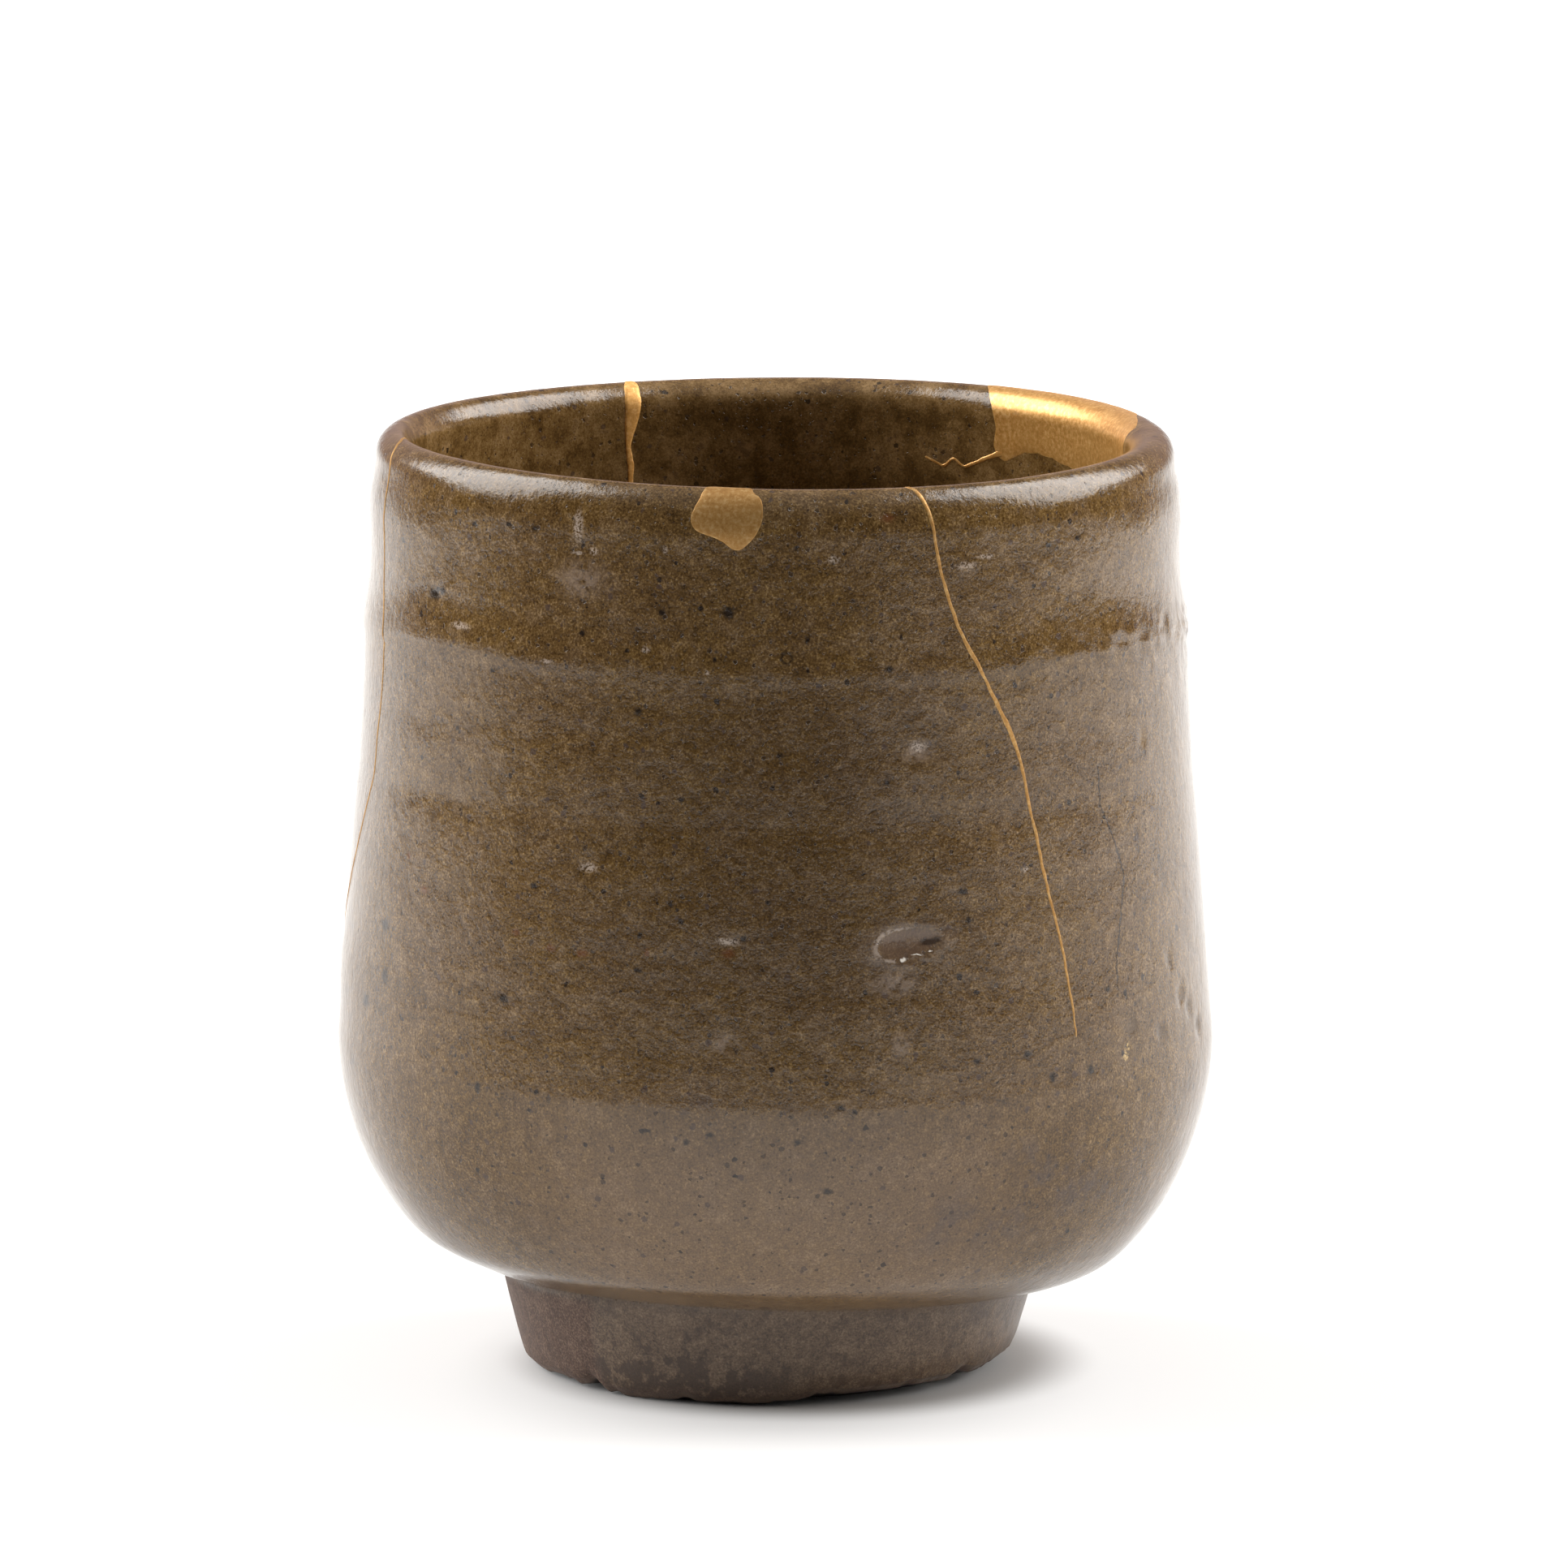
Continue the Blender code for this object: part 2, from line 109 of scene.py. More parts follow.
# Height and reach of the upper ring's three bell curves, in mm
RING_FLARE, RING_STEP, RING_RETURN = (0.36, 3.0), (0.17, 0.32), (0.19, 4.2)
CREASE_DEPTH, CREASE_SOFTNESS = 0.24 * MM, 0.25 * MM
CREASE_ABOVE, CREASE_BELOW = 3.6 * MM, 2.8 * MM


def bell(distance, reach):
    """Bell curve: e to the power of minus the square of distance over reach."""
    return np.exp(-(distance / reach) ** 2)


def outer_wall_radius(z):
    """A straight taper from lip to belly, less a half sine wave of hollow."""
    share = (z - BELLY_HEIGHT) / (LIP_SPRING - BELLY_HEIGHT)
    taper = BELLY_RADIUS + (LIP_OUTER_RADIUS - BELLY_RADIUS) * share
    return taper - WALL_HOLLOW * np.sin(np.pi * share)


def upper_ring(drop):
    """A flare down to a crest, a quick step in, then a slow return: three bell curves of the distance."""
    below = (drop - UPPER_RING_DROP) / MM
    flare, step, back = (high * bell(below, reach) for high, reach in (RING_FLARE, RING_STEP, RING_RETURN))
    return np.where(below < 0, flare, step + back) * MM


def lower_ring(drop):
    """A crease: depth times exp of minus the softened distance, slow above it and quick below."""
    below = drop - LOWER_RING_DROP
    soft = np.hypot(below, CREASE_SOFTNESS)
    return -CREASE_DEPTH * np.exp(-soft / np.where(below < 0, CREASE_ABOVE, CREASE_BELOW))


def quarter(start, end, power, steps):
    """Quarter superellipse: cosine and sine of a quarter turn, each raised to two over the power."""
    turn = np.linspace(0.0, np.pi / 2, steps)
    across = np.clip(np.cos(turn), 0, 1) ** (2 / power)
    down = np.sin(turn) ** (2 / power)
    return np.stack([end[0] + (start[0] - end[0]) * across, start[1] + (end[1] - start[1]) * down], axis=1)


# %% The whole meridian, with its run
BOWL_STEPS, WALL_STEPS, OUTSIDE_STEPS, HAUNCH_STEPS = 300, 100, 500, 400
INNER_LIP_STEPS, OUTER_LIP_STEPS, FOOT_POINTS = 80, 120, 7
ROUND = 2


def meridian(apex_radius, inner_drop, outer_drop):
    """Points (radius, height) of the line for one shape of lip, the run of each, and its landmarks."""
    inside_belly = np.array([BELLY_RADIUS - WALL_THICKNESS, BELLY_HEIGHT])
    bowl = quarter(inside_belly, (0.0, RECESS_DEPTH + FLOOR_THICKNESS), INSIDE_POWER, BOWL_STEPS)[::-1]
    up = np.linspace(0, 1, WALL_STEPS)[1:-1, None]
    inner_lip = np.array([LIP_INNER_RADIUS, CUP_HEIGHT - inner_drop])
    wall = inside_belly + (inner_lip - inside_belly) * up
    apex = (apex_radius, CUP_HEIGHT)
    outer_lip = (outer_wall_radius(CUP_HEIGHT - outer_drop), CUP_HEIGHT - outer_drop)
    lip = np.vstack([quarter(inner_lip, apex, ROUND, INNER_LIP_STEPS),
                     quarter(outer_lip, apex, ROUND, OUTER_LIP_STEPS)[::-1][1:]])
    heights = np.linspace(outer_lip[1], BELLY_HEIGHT, OUTSIDE_STEPS)[1:-1]
    outside = np.stack([outer_wall_radius(heights), heights], axis=1)
    haunch = quarter((BELLY_RADIUS, BELLY_HEIGHT), (FOOT_TOP_RADIUS, FOOT_HEIGHT), HAUNCH_POWER, HAUNCH_STEPS)
    recess = CONTACT_INNER - FOOT_BEVEL - RECESS_SLOPE
    foot = np.array([
        (FOOT_BOTTOM_RADIUS, FOOT_BEVEL), (CONTACT_OUTER, 0.0), (CONTACT_INNER, 0.0),
        (CONTACT_INNER - FOOT_BEVEL, FOOT_BEVEL), (recess, RECESS_DEPTH - FOOT_BEVEL),
        (recess - FOOT_BEVEL, RECESS_DEPTH), (0.0, RECESS_DEPTH),
    ])
    line = np.concatenate([bowl, wall, lip, outside, haunch, foot])
    runs = np.concatenate([[0.0], np.cumsum(np.hypot(*np.diff(line, axis=0).T))])
    top = len(bowl) + len(wall) + INNER_LIP_STEPS - 1
    landmarks = [0, len(bowl) - 1, top, top + OUTER_LIP_STEPS - 1 + len(outside), len(line) - 1]
    return line, runs - runs[top], landmarks


LINE, RUNS, MARKS = meridian(APEX_RADIUS, LIP_RADIUS, LIP_RADIUS)
FRONT_LINE, FRONT_RUNS, FRONT_MARKS = meridian(FRONT_APEX_RADIUS, FRONT_INNER_DROP, FRONT_OUTER_DROP)
FRONT_RUNS = np.interp(FRONT_RUNS, FRONT_RUNS[FRONT_MARKS], RUNS[MARKS])
OUTSIDE = (RUNS >= 0) & (LINE[:, 1] >= BELLY_HEIGHT)
WALL_RUN_OF_DROP = RUNS[OUTSIDE][-1] - (CUP_HEIGHT - LINE[OUTSIDE][-1, 1])
DROP_TO_RUN = WALL_RUN_OF_DROP / MM
# The foot's points end the line: its top corner comes before them, its outer contact edge is the second
FOOT_TOP_RUN, FOOT_BOTTOM_RUN = RUNS[-FOOT_POINTS - 1], RUNS[-FOOT_POINTS + 1]
print("runs from", RUNS[0], "to", RUNS[-1], "and the foot starts at", FOOT_TOP_RUN)

# %% [markdown]
# ## Unevenness of the hand
# A thrown cup is never quite round: its lip dips and rises a little, its foot was trimmed off centre. One
# gentle change of place, given to every point alike, makes all of that. It could be a lattice modifier, but
# a formula gives the clay and the gold exactly the same bend.

# %% The uneven hand
FOOT_OFFSET = -0.75 * MM
HAUNCH_OFFSET = 0.5 * MM
FOOT_TILT_FRONT = 1.2 * MM
FOOT_TILT_LEFT = 0.6 * MM
FOOT_FADE_START, HAUNCH_FADE_START = 0.85 * FOOT_HEIGHT, 0.9 * FOOT_HEIGHT
FOOT_FADE_END = 1.2 * FOOT_HEIGHT
HAUNCH_TOP = 24.0 * MM
FOOT_TILT_TOP = 14.0 * MM
OVAL = 0.25 * MM
OVAL_SIDE = 17
LIP_TILT = 0.35 * MM
LIP_TILT_SIDE = 165
LIP_WAVE = 0.15 * MM
LIP_WAVE_SIDE = 30
LIP_BACK_RISES = ((50, 0.50 * MM, 2), (152, 0.13 * MM, 8))


def eased(share):
    """Three times the squared share less twice its cube."""
    return share * share * (3 - 2 * share)


def smooth_step(low, high, value):
    """Eased share of the way from low, where it is 0, to high, where it is 1; low may be above high."""
    return eased(np.clip((value - low) / (high - low), 0.0, 1.0))


def hand_thrown(x, y, z):
    """Move turned points: an oval wall, a tilted and wavy lip, a foot set off centre under a fuller haunch."""
    radius = np.hypot(x, y)
    angle = np.arctan2(y, x)
    rise = smooth_step(0.0, CUP_HEIGHT, z)
    foot = smooth_step(FOOT_FADE_END, FOOT_FADE_START, z)
    haunch = smooth_step(HAUNCH_FADE_START, FOOT_FADE_END, z) * smooth_step(HAUNCH_TOP, FOOT_HEIGHT, z)
    junction = smooth_step(FOOT_BEVEL, FOOT_HEIGHT, z) * smooth_step(FOOT_TILT_TOP, FOOT_HEIGHT, z)
    junction = junction * smooth_step(CONTACT_INNER, FOOT_TOP_RADIUS, radius)
    oval = 1 + OVAL / BELLY_RADIUS * rise * np.cos(2 * (angle - math.radians(OVAL_SIDE)))
    lip = LIP_TILT * np.cos(angle - math.radians(LIP_TILT_SIDE))
    lip = lip + LIP_WAVE * np.cos(2 * (angle - math.radians(LIP_WAVE_SIDE)))
    for side, swell, power in LIP_BACK_RISES:
        lip = lip + swell * (0.5 + 0.5 * np.cos(angle - math.radians(side))) ** power
    tilt = junction * (-FOOT_TILT_FRONT * y - FOOT_TILT_LEFT * x) / FOOT_TOP_RADIUS
    return x * oval + FOOT_OFFSET * foot + HAUNCH_OFFSET * haunch, y * oval, z + lip * rise + tilt


# %% [markdown]
# ## Relief of the clay
# Under the glaze the wall carries faint finger marks, shallow dents and one hollow where a pebble burst in
# the kiln. These are too fine for the solids but they catch the light, so they are added to the mesh as small
# distances along the surface's normal. Smooth random waves come from a little lattice of random numbers,
# blended between its points and closed round the cup.

# %% A lattice of smooth random waves
LATTICE_ROWS, LATTICE_START = 400, -0.2


def clay_waves(angle, run, cells_round, cell_height, seed):
    """Random lattice values blended with a smooth step both ways; the lattice closes round the cup."""
    lattice = np.random.default_rng(seed).uniform(-1, 1, (LATTICE_ROWS, cells_round))
    u = (np.asarray(angle) + 180) / 360 * cells_round
    v = (np.asarray(run) - LATTICE_START) / cell_height
    u0, v0 = np.floor(u).astype(int), np.floor(v).astype(int)
    fu, fv = eased(u - u0), eased(v - v0)
    c0, c1 = u0 % cells_round, (u0 + 1) % cells_round
    r0, r1 = v0 % LATTICE_ROWS, (v0 + 1) % LATTICE_ROWS
    low = lattice[r0, c0] * (1 - fu) + lattice[r0, c1] * fu
    high = lattice[r1, c0] * (1 - fu) + lattice[r1, c1] * fu
    return low * (1 - fv) + high * fv


# %% Dents, blisters and the burst pebble's hollow
MM_PER_DEGREE = math.radians(1) * 38.5
# Each mark: angle, drop in mm, half width and half height in mm, depth in mm (negative goes in)
DENTS = (
    (-27.8, 6.0, 0.9, 1.1, -0.10), (-28.1, 8.4, 2.4, 1.8, 0.06), (-6.4, 40.5, 1.0, 0.6, -0.12),
    (-25.7, 34.2, 0.7, 0.9, -0.12), (-6.5, 48.8, 0.7, 0.9, -0.08), (16.5, 49.4, 0.5, 0.8, 0.08),
    (20.0, 23.4, 1.3, 0.8, -0.08), (9.6, 6.0, 0.6, 0.4, 0.07), (28.1, 6.7, 1.3, 0.5, 0.07),
    (-34.5, 16.5, 0.7, 0.5, 0.06), (-15.4, 5.5, 0.4, 0.5, 0.05), (68.1, 49.4, 0.7, 0.9, -0.25),
    (70.9, 50.8, 0.6, 0.7, -0.25), (74.9, 53.0, 0.6, 0.8, -0.28), (65.1, 45.7, 0.5, 0.7, -0.2),
    (54.0, 50.7, 0.5, 0.6, -0.15), (61.2, 51.9, 0.5, 0.6, -0.18), (61.3, 24.9, 0.5, 0.7, -0.15),
    (57.5, 22.0, 0.4, 0.4, -0.1), (-55.0, 11.8, 0.7, 0.6, -0.14), (-88.0, 48.5, 14.0, 3.5, 0.2),
)
HOLLOW_ANGLE, HOLLOW_DROP = 18.0, 40.4
HOLLOW_HALF_WIDTH, HOLLOW_HALF_HEIGHT, HOLLOW_LEAST_HEIGHT = 3.1, 1.35, 0.5
HOLLOW_SLANT, HOLLOW_TAPER = 0.12, 0.12
HOLLOW_DEPTH, HOLLOW_RAGGED = 0.22, 0.14


def bump_at(angle, run, mark_angle, mark_drop, half_width, half_height):
    """Bell of the distance from a mark, measured along the wall in its own half widths."""
    across = (angle - mark_angle) * MM_PER_DEGREE / half_width
    down = (run / MM - mark_drop - DROP_TO_RUN) / half_height
    return bell(np.hypot(across, down), 1)


def burst_hollow(angle, run):
    """Oval pan with a raised, broken edge: a smooth step of the oval distance, and a thin bell at its edge."""
    wander = clay_waves(angle, run, 240, 1.4 * MM, 5)
    across = (angle - HOLLOW_ANGLE) * MM_PER_DEGREE
    down = run / MM - HOLLOW_DROP - DROP_TO_RUN + HOLLOW_SLANT * across
    half_height = np.maximum(HOLLOW_HALF_HEIGHT - HOLLOW_TAPER * across, HOLLOW_LEAST_HEIGHT)
    far = np.hypot(across / HOLLOW_HALF_WIDTH, down / half_height) + HOLLOW_RAGGED * wander
    pan = -HOLLOW_DEPTH * smooth_step(1.05, 0.6, far)
    edge = (0.03 + 0.09 * smooth_step(-0.6, 1.0, down)) * bell(far - 1.08, 0.12)
    return (pan + edge) * MM


# %% Rings and relief
FRONT_RING_RISE, FRONT_RING_SHARE = 0.7 * MM, 0.26
FRONT_CREASE_SHARE, CREST_NICKS, RING_SWAY = 0.5, 0.35, 0.35 * MM
SWELL_HEIGHT, SWELL_DROP, SWELL_REACH = 0.42 * MM, 6.2 * MM, 3.0 * MM
# Random waves: strength in mm, cells round the cup, height of a cell in mm, seed
BROAD_WAVES = ((0.05, 14, 9, 1), (0.03, 38, 4, 2))
FINE_WAVES = ((0.012, 150, 1.5, 3), (0.012, 9, 1.1, 4), (0.018, 5, 2.9, 6))
WALL_SETBACK = 0.06


def rings(angle, run):
    """The two throwing rings, fainter in front, the upper crest nicked by waves, and a swell under the lip."""
    drop = run - WALL_RUN_OF_DROP
    aside = np.abs(angle)
    strong = FRONT_RING_SHARE + (1 - FRONT_RING_SHARE) * smooth_step(16, 56, aside)
    at_right = smooth_step(30, 50, angle) * (angle < 100)
    nicks = 1 + CREST_NICKS * clay_waves(angle, run, 230, 0.6 * MM, 7) * at_right
    sway = RING_SWAY * clay_waves(angle, 0 * run, 11, 1 * MM, 8)
    crease = FRONT_CREASE_SHARE + (1 - FRONT_CREASE_SHARE) * smooth_step(30, 52, -angle)
    swell = SWELL_HEIGHT * bell(drop - SWELL_DROP, SWELL_REACH) * smooth_step(40, 75, aside)
    higher = FRONT_RING_RISE * smooth_step(85, 50, aside)
    return upper_ring(drop + sway + higher) * strong * nicks + lower_ring(drop + sway) * crease + swell


def wave_sum(angle, run, waves):
    """The random waves of a table, each times its strength, added up."""
    return sum(strength * clay_waves(angle, run, cells, height * MM, seed)
               for strength, cells, height, seed in waves)


def relief(angle, run):
    """Sum of broad waves, fine waves and turning marks, the dents, the hollow and the rings."""
    outside = smooth_step(1 * MM, 6 * MM, run) * smooth_step(FOOT_TOP_RUN, FOOT_TOP_RUN - 2 * MM, run)
    everywhere = smooth_step(FOOT_BOTTOM_RUN, FOOT_BOTTOM_RUN - 1 * MM, run)
    total = (wave_sum(angle, run, BROAD_WAVES) - WALL_SETBACK) * outside
    total = total + wave_sum(angle, run, FINE_WAVES) * everywhere
    for *place, depth in DENTS:
        total = total + depth * bump_at(angle, run, *place)
    return total * MM + burst_hollow(angle, run) + rings(angle, run) * outside


# %% [markdown]
# ## One surface for clay and gold
# Any point of the cup is now named by an angle and a run, and may be lifted off the surface by a little. The
# clay uses a lift of nothing, and the gold stands about a twentieth of a millimetre proud of it.

# %% The cup's surface
LEFT_THINNING = 1.1 * MM
FRONT_LIP_END, BACK_LIP_START = 48, 84
NORMAL_STEP = 0.12 * MM


def point_on(line, runs, run):
    """Radius and height of one meridian at this run, and its normal there."""
    radius = np.interp(run, runs, line[:, 0])
    height = np.interp(run, runs, line[:, 1])
    along_r, along_z = (np.interp(run + NORMAL_STEP, runs, line[:, k])
                        - np.interp(run - NORMAL_STEP, runs, line[:, k]) for k in (0, 1))
    size = np.hypot(along_r, along_z)
    return np.stack([radius, height, -along_z / size, along_r / size])


def turned_point(angle, run):
    """The round-lipped meridian, blended in front with the one whose lip rolls over further out."""
    front = smooth_step(BACK_LIP_START, FRONT_LIP_END, np.abs(angle))
    both = point_on(LINE, RUNS, run) * (1 - front) + point_on(FRONT_LINE, FRONT_RUNS, run) * front
    thin = LEFT_THINNING * np.maximum(0, -np.sin(np.radians(angle))) ** 4
    both[0] = both[0] + thin * smooth_step(0.5 * MM, -2.5 * MM, run) * smooth_step(-60 * MM, -30 * MM, run)
    return both


def cup_surface(angle, run, lift=0.0):
    """Turned point plus its normal times the relief and the lift, then moved by the uneven hand."""
    radius, height, out, up = turned_point(angle, run)
    rise = relief(angle, run) * smooth_step(0.0, 3 * MM, radius) + lift
    radius, height = radius + out * rise, height + up * rise
    turn = np.radians(angle)
    return hand_thrown(radius * np.sin(turn), -radius * np.cos(turn), height)


# %% [markdown]
# ## From arrays to a mesh
# Every piece is a grid of points: rows one way, columns the other. The helper joins the columns round, and
# closes the first and last row into a point each, so that no surface is left open. The angle and the run of
# each corner are kept as a UV map, and the paint reads them later.

# %% Mesh from a closed grid
ANGLE_SPAN = 360.0
RUN_LOW, RUN_SPAN = -0.12, 0.28


def grid_points(grid):
    """One row per vertex of a closed grid, whose first and last rows are a single point each."""
    return np.concatenate([grid[0, :1], grid[1:-1].reshape(-1, *grid.shape[2:]), grid[-1, :1]])


def placed(name, data):
    """A new object for this mesh, light or camera, in the scene."""
    made = bpy.data.objects.new(name, data)
    bpy.context.scene.collection.objects.link(made)
    return made


def closed_mesh(name, x, y, z, angle, run):
    """Rows by columns of points: columns wrap round, and the first and last row are single points."""
    rows, columns = x.shape
    points = grid_points(np.stack([x, y, z], axis=-1))
    ring = 1 + np.arange((rows - 2) * columns).reshape(rows - 2, columns)
    nxt = np.roll(ring, -1, axis=1)
    quads = np.stack([ring[:-1], ring[1:], nxt[1:], nxt[:-1]], axis=-1).reshape(-1, 4)
    first = np.stack([np.zeros(columns, int), ring[0], nxt[0]], axis=-1)
    last = np.stack([np.full(columns, len(points) - 1), nxt[-1], ring[-1]], axis=-1)
    mesh = bpy.data.meshes.new(name)
    mesh.from_pydata(points, [], quads.tolist() + first.tolist() + last.tolist())
    places = []
    for faces in (quads, first, last):
        turned = grid_points(angle)[faces]
        behind = turned.max(axis=1, keepdims=True) - turned > ANGLE_SPAN / 2
        along = (grid_points(run)[faces] - RUN_LOW) / RUN_SPAN
        places.append(np.stack([turned / ANGLE_SPAN + 0.5 + behind, along], axis=-1).ravel())
    mesh.uv_layers.new(name="wall").data.foreach_set("uv", np.concatenate(places))
    mesh.shade_smooth()
    print(name, "triangles:", 2 * len(quads) + 2 * columns)
    return placed(name, mesh)


# %% [markdown]
# ## The cup's body
# One closed skin: inner floor, inner wall, lip, outside, foot and the hollow under it. Columns stand closer
# at the front, where the dents are, and rows are closest over the lip and the outer wall. The lower edge of
# the foot is worn: it was knocked and it lifts off the table at the right, so the last step raises that edge.

# %% Worn edge of the foot
# Each chip: angle, half width in degrees, depth in mm
FOOT_CHIPS = ((-45.5, 2.6, 0.75), (-39.0, 1.6, 0.35), (-61.0, 5.0, 0.25), (53.5, 2.2, 0.45),
              (-20.0, 2.0, 0.22), (12.0, 3.0, 0.18), (120.0, 6.0, 0.5), (-150.0, 4.0, 0.4))
# Each lift: height in mm, and the angles where it is nothing and full, first at its left and then at its right
FOOT_LIFTS = ((0.70, (-4, 22), (130, 80)), (0.22, (-34, -22), (110, 70)), (0.28, (-120, -90), (-38, -52)))
EVEN_WEAR, NICK_DEPTH, WORN_HEIGHT = 0.08, 0.16, 3.4 * MM


def worn_foot_edge(angle, z, radius):
    """Raise the outer lower edge of the foot: the listed lifts, small random nicks and the listed chips."""
    nicks = wave_sum(angle, 0 * angle, ((NICK_DEPTH, 90, 1, 21), (0.6 * NICK_DEPTH, 210, 1, 22)))
    lifted = np.maximum(nicks, -0.05) + EVEN_WEAR
    for height, start, end in FOOT_LIFTS:
        lifted = lifted + height * smooth_step(*start, angle) * smooth_step(*end, angle)
    for chip_angle, half_width, depth in FOOT_CHIPS:
        lifted = lifted + depth * bell(angle - chip_angle, half_width)
    low = smooth_step(WORN_HEIGHT, 0.0, z)
    outer = smooth_step(FOOT_BOTTOM_RADIUS - FOOT_BAND_WIDTH, CONTACT_OUTER, radius)
    return z + lifted * MM * low * outer * (z < FOOT_HEIGHT)


# %% The body's grid
def spaced(*stretches):
    """Joined even steps: each stretch is its start and the step used up to the next stretch's start."""
    parts = [np.linspace(a, b, max(2, int(round((b - a) / step)) + 1))[:-1]
             for (a, step), (b, _) in zip(stretches[:-1], stretches[1:])]
    return np.concatenate(parts + [[stretches[-1][0]]])


columns = spaced((-180, 1.6), (-104, 0.74), (104, 1.6), (180, 1))[:-1]
rows = spaced((RUNS[0], 3.2 * MM), (-60 * MM, 2.2 * MM), (-14 * MM, 0.8 * MM), (-4.5 * MM, 0.35 * MM),
              (4.5 * MM, 0.58 * MM), (FOOT_TOP_RUN - 1 * MM, 0.25 * MM), (FOOT_TOP_RUN + 1 * MM, 0.5 * MM),
              (FOOT_BOTTOM_RUN - 2 * MM, 0.3 * MM), (FOOT_BOTTOM_RUN + 1.2 * MM, 0.8 * MM),
              (FOOT_BOTTOM_RUN + 11 * MM, 1.7 * MM), (RUNS[-1], 1))
run_grid, angle_grid = np.meshgrid(rows, columns, indexing="ij")
x, y, z = cup_surface(angle_grid, run_grid)
centred = np.hypot(x - FOOT_OFFSET, y)
z = worn_foot_edge(angle_grid, z, centred)
body = closed_mesh("glazed_cup", x, y, z, angle_grid, run_grid)
SHARPEST_SMOOTH_EDGE = 42
body.data.set_sharp_from_angle(angle=math.radians(SHARPEST_SMOOTH_EDGE))
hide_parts("cup_body")
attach(body, "root")
print("grid:", run_grid.shape, "lowest:", z.min(), "highest:", z.max())

# %% [markdown]
# ## Gold patches
# A missing shard and a chip were built up with lacquer and dusted with gold. Each patch is a thin pillow that
# lies in the wall and stands a little proud of it. Its outline is given the way the breaks were measured,
# as seen from the front, and is carried on to the wall by dividing by the radius. The surface is a grid of
# spokes and rings: the spokes reach the outline, the rings give the pillow its rounded rim and flat back.

# %% Outlines carried on to the wall
def run_at_drop(drop, side):
    """Run of a point this far below the lip, read off the meridian outside (side 1) or inside (side -1)."""
    inside = (RUNS <= 0) & (RUNS > -60 * MM)
    outer = np.interp(drop, CUP_HEIGHT - LINE[OUTSIDE, 1], RUNS[OUTSIDE])
    inner = np.interp(drop, CUP_HEIGHT - LINE[inside, 1][::-1], RUNS[inside][::-1])
    return np.where(side > 0, outer, inner)


def smooth_curve(points, steps, closed=False):
    """Catmull-Rom curve: each span is a cubic blend of its four nearest points; open ends are mirrored."""
    points = np.asarray(points, float)
    before, after = points[-1], points[0]
    if not closed:
        before, after = 2 * points[0] - points[1], 2 * points[-1] - points[-2]
    padded = np.vstack([before, points, after, *points[1:1 + closed]])
    p0, p1, p2, p3 = (padded[k:len(padded) - 3 + k, None] for k in range(4))
    t = np.linspace(0, 1, steps, endpoint=False)[None, :, None]
    curve = 0.5 * (2 * p1 + (p2 - p0) * t + (2 * p0 - 5 * p1 + 4 * p2 - p3) * t ** 2
                   + (3 * p1 - p0 - 3 * p2 + p3) * t ** 3)
    curve = curve.reshape(-1, points.shape[1])
    return curve if closed else np.vstack([curve, points[-1]])


# %% The pillow of gold
GOLD_PROUD, GOLD_DEPTH, GOLD_SWELL = 0.06 * MM, 0.45 * MM, 0.012 * MM
PILLOW_EDGE = 8


def gold_patch(name, outline, centre, spokes, rounds):
    """Spokes from the centre to the outline; the lift follows a rounded-square curve, then a flat back."""
    scale = np.array([MM_PER_DEGREE, 1 / MM])
    offset = (outline - centre) * scale
    bearing = np.unwrap(np.arctan2(offset[:, 1], offset[:, 0]))
    if bearing[-1] < bearing[0]:
        bearing, offset = bearing[::-1], offset[::-1]
    reach = np.hypot(*offset.T)
    spoke = bearing[0] + np.linspace(0, 2 * np.pi, spokes, endpoint=False)
    length = np.interp(spoke, np.append(bearing, bearing[0] + 2 * np.pi), np.append(reach, reach[0]))
    front = np.sin(np.linspace(0, np.pi / 2, rounds)) ** 0.8
    lift_front = GOLD_PROUD * (1 - front ** PILLOW_EDGE) ** 0.5
    back = front[::-1][1:]
    share = np.concatenate([front, [1.0], back])
    lift = np.concatenate([lift_front, [-GOLD_DEPTH * 0.6], np.full(len(back), -GOLD_DEPTH)])
    across = share[:, None] * (length * np.cos(spoke))[None, :]
    along = share[:, None] * (length * np.sin(spoke))[None, :]
    angle = centre[0] + across / scale[0]
    run = centre[1] + along / scale[1]
    swell = GOLD_SWELL * clay_waves(angle, run, 120, 2.2 * MM, 31) * (lift[:, None] > 0)
    gx, gy, gz = cup_surface(angle, run, lift[:, None] + swell)
    return name, gx[::-1], gy[::-1], gz[::-1], angle[::-1], run[::-1]


# %% [markdown]
# ## Gold seams
# Where the wall only cracked, the crack was filled and drawn over with a line of gold. A seam is a flat oval
# cross-section carried along the crack: it follows the wall because each point is placed by angle and run.
# Its width swells and fades along the way, as the brush did.

# %% A seam along a crack
SEAM_PROUD, SEAM_DEPTH, SEAM_STEP = 0.045 * MM, 0.30 * MM, 0.25
SEAM_SECTION, SEAM_SPAN_STEPS = 12, 30
SEAM_WANDER, SEAM_END, SEAM_FLATNESS = 0.05, 0.5, 0.35


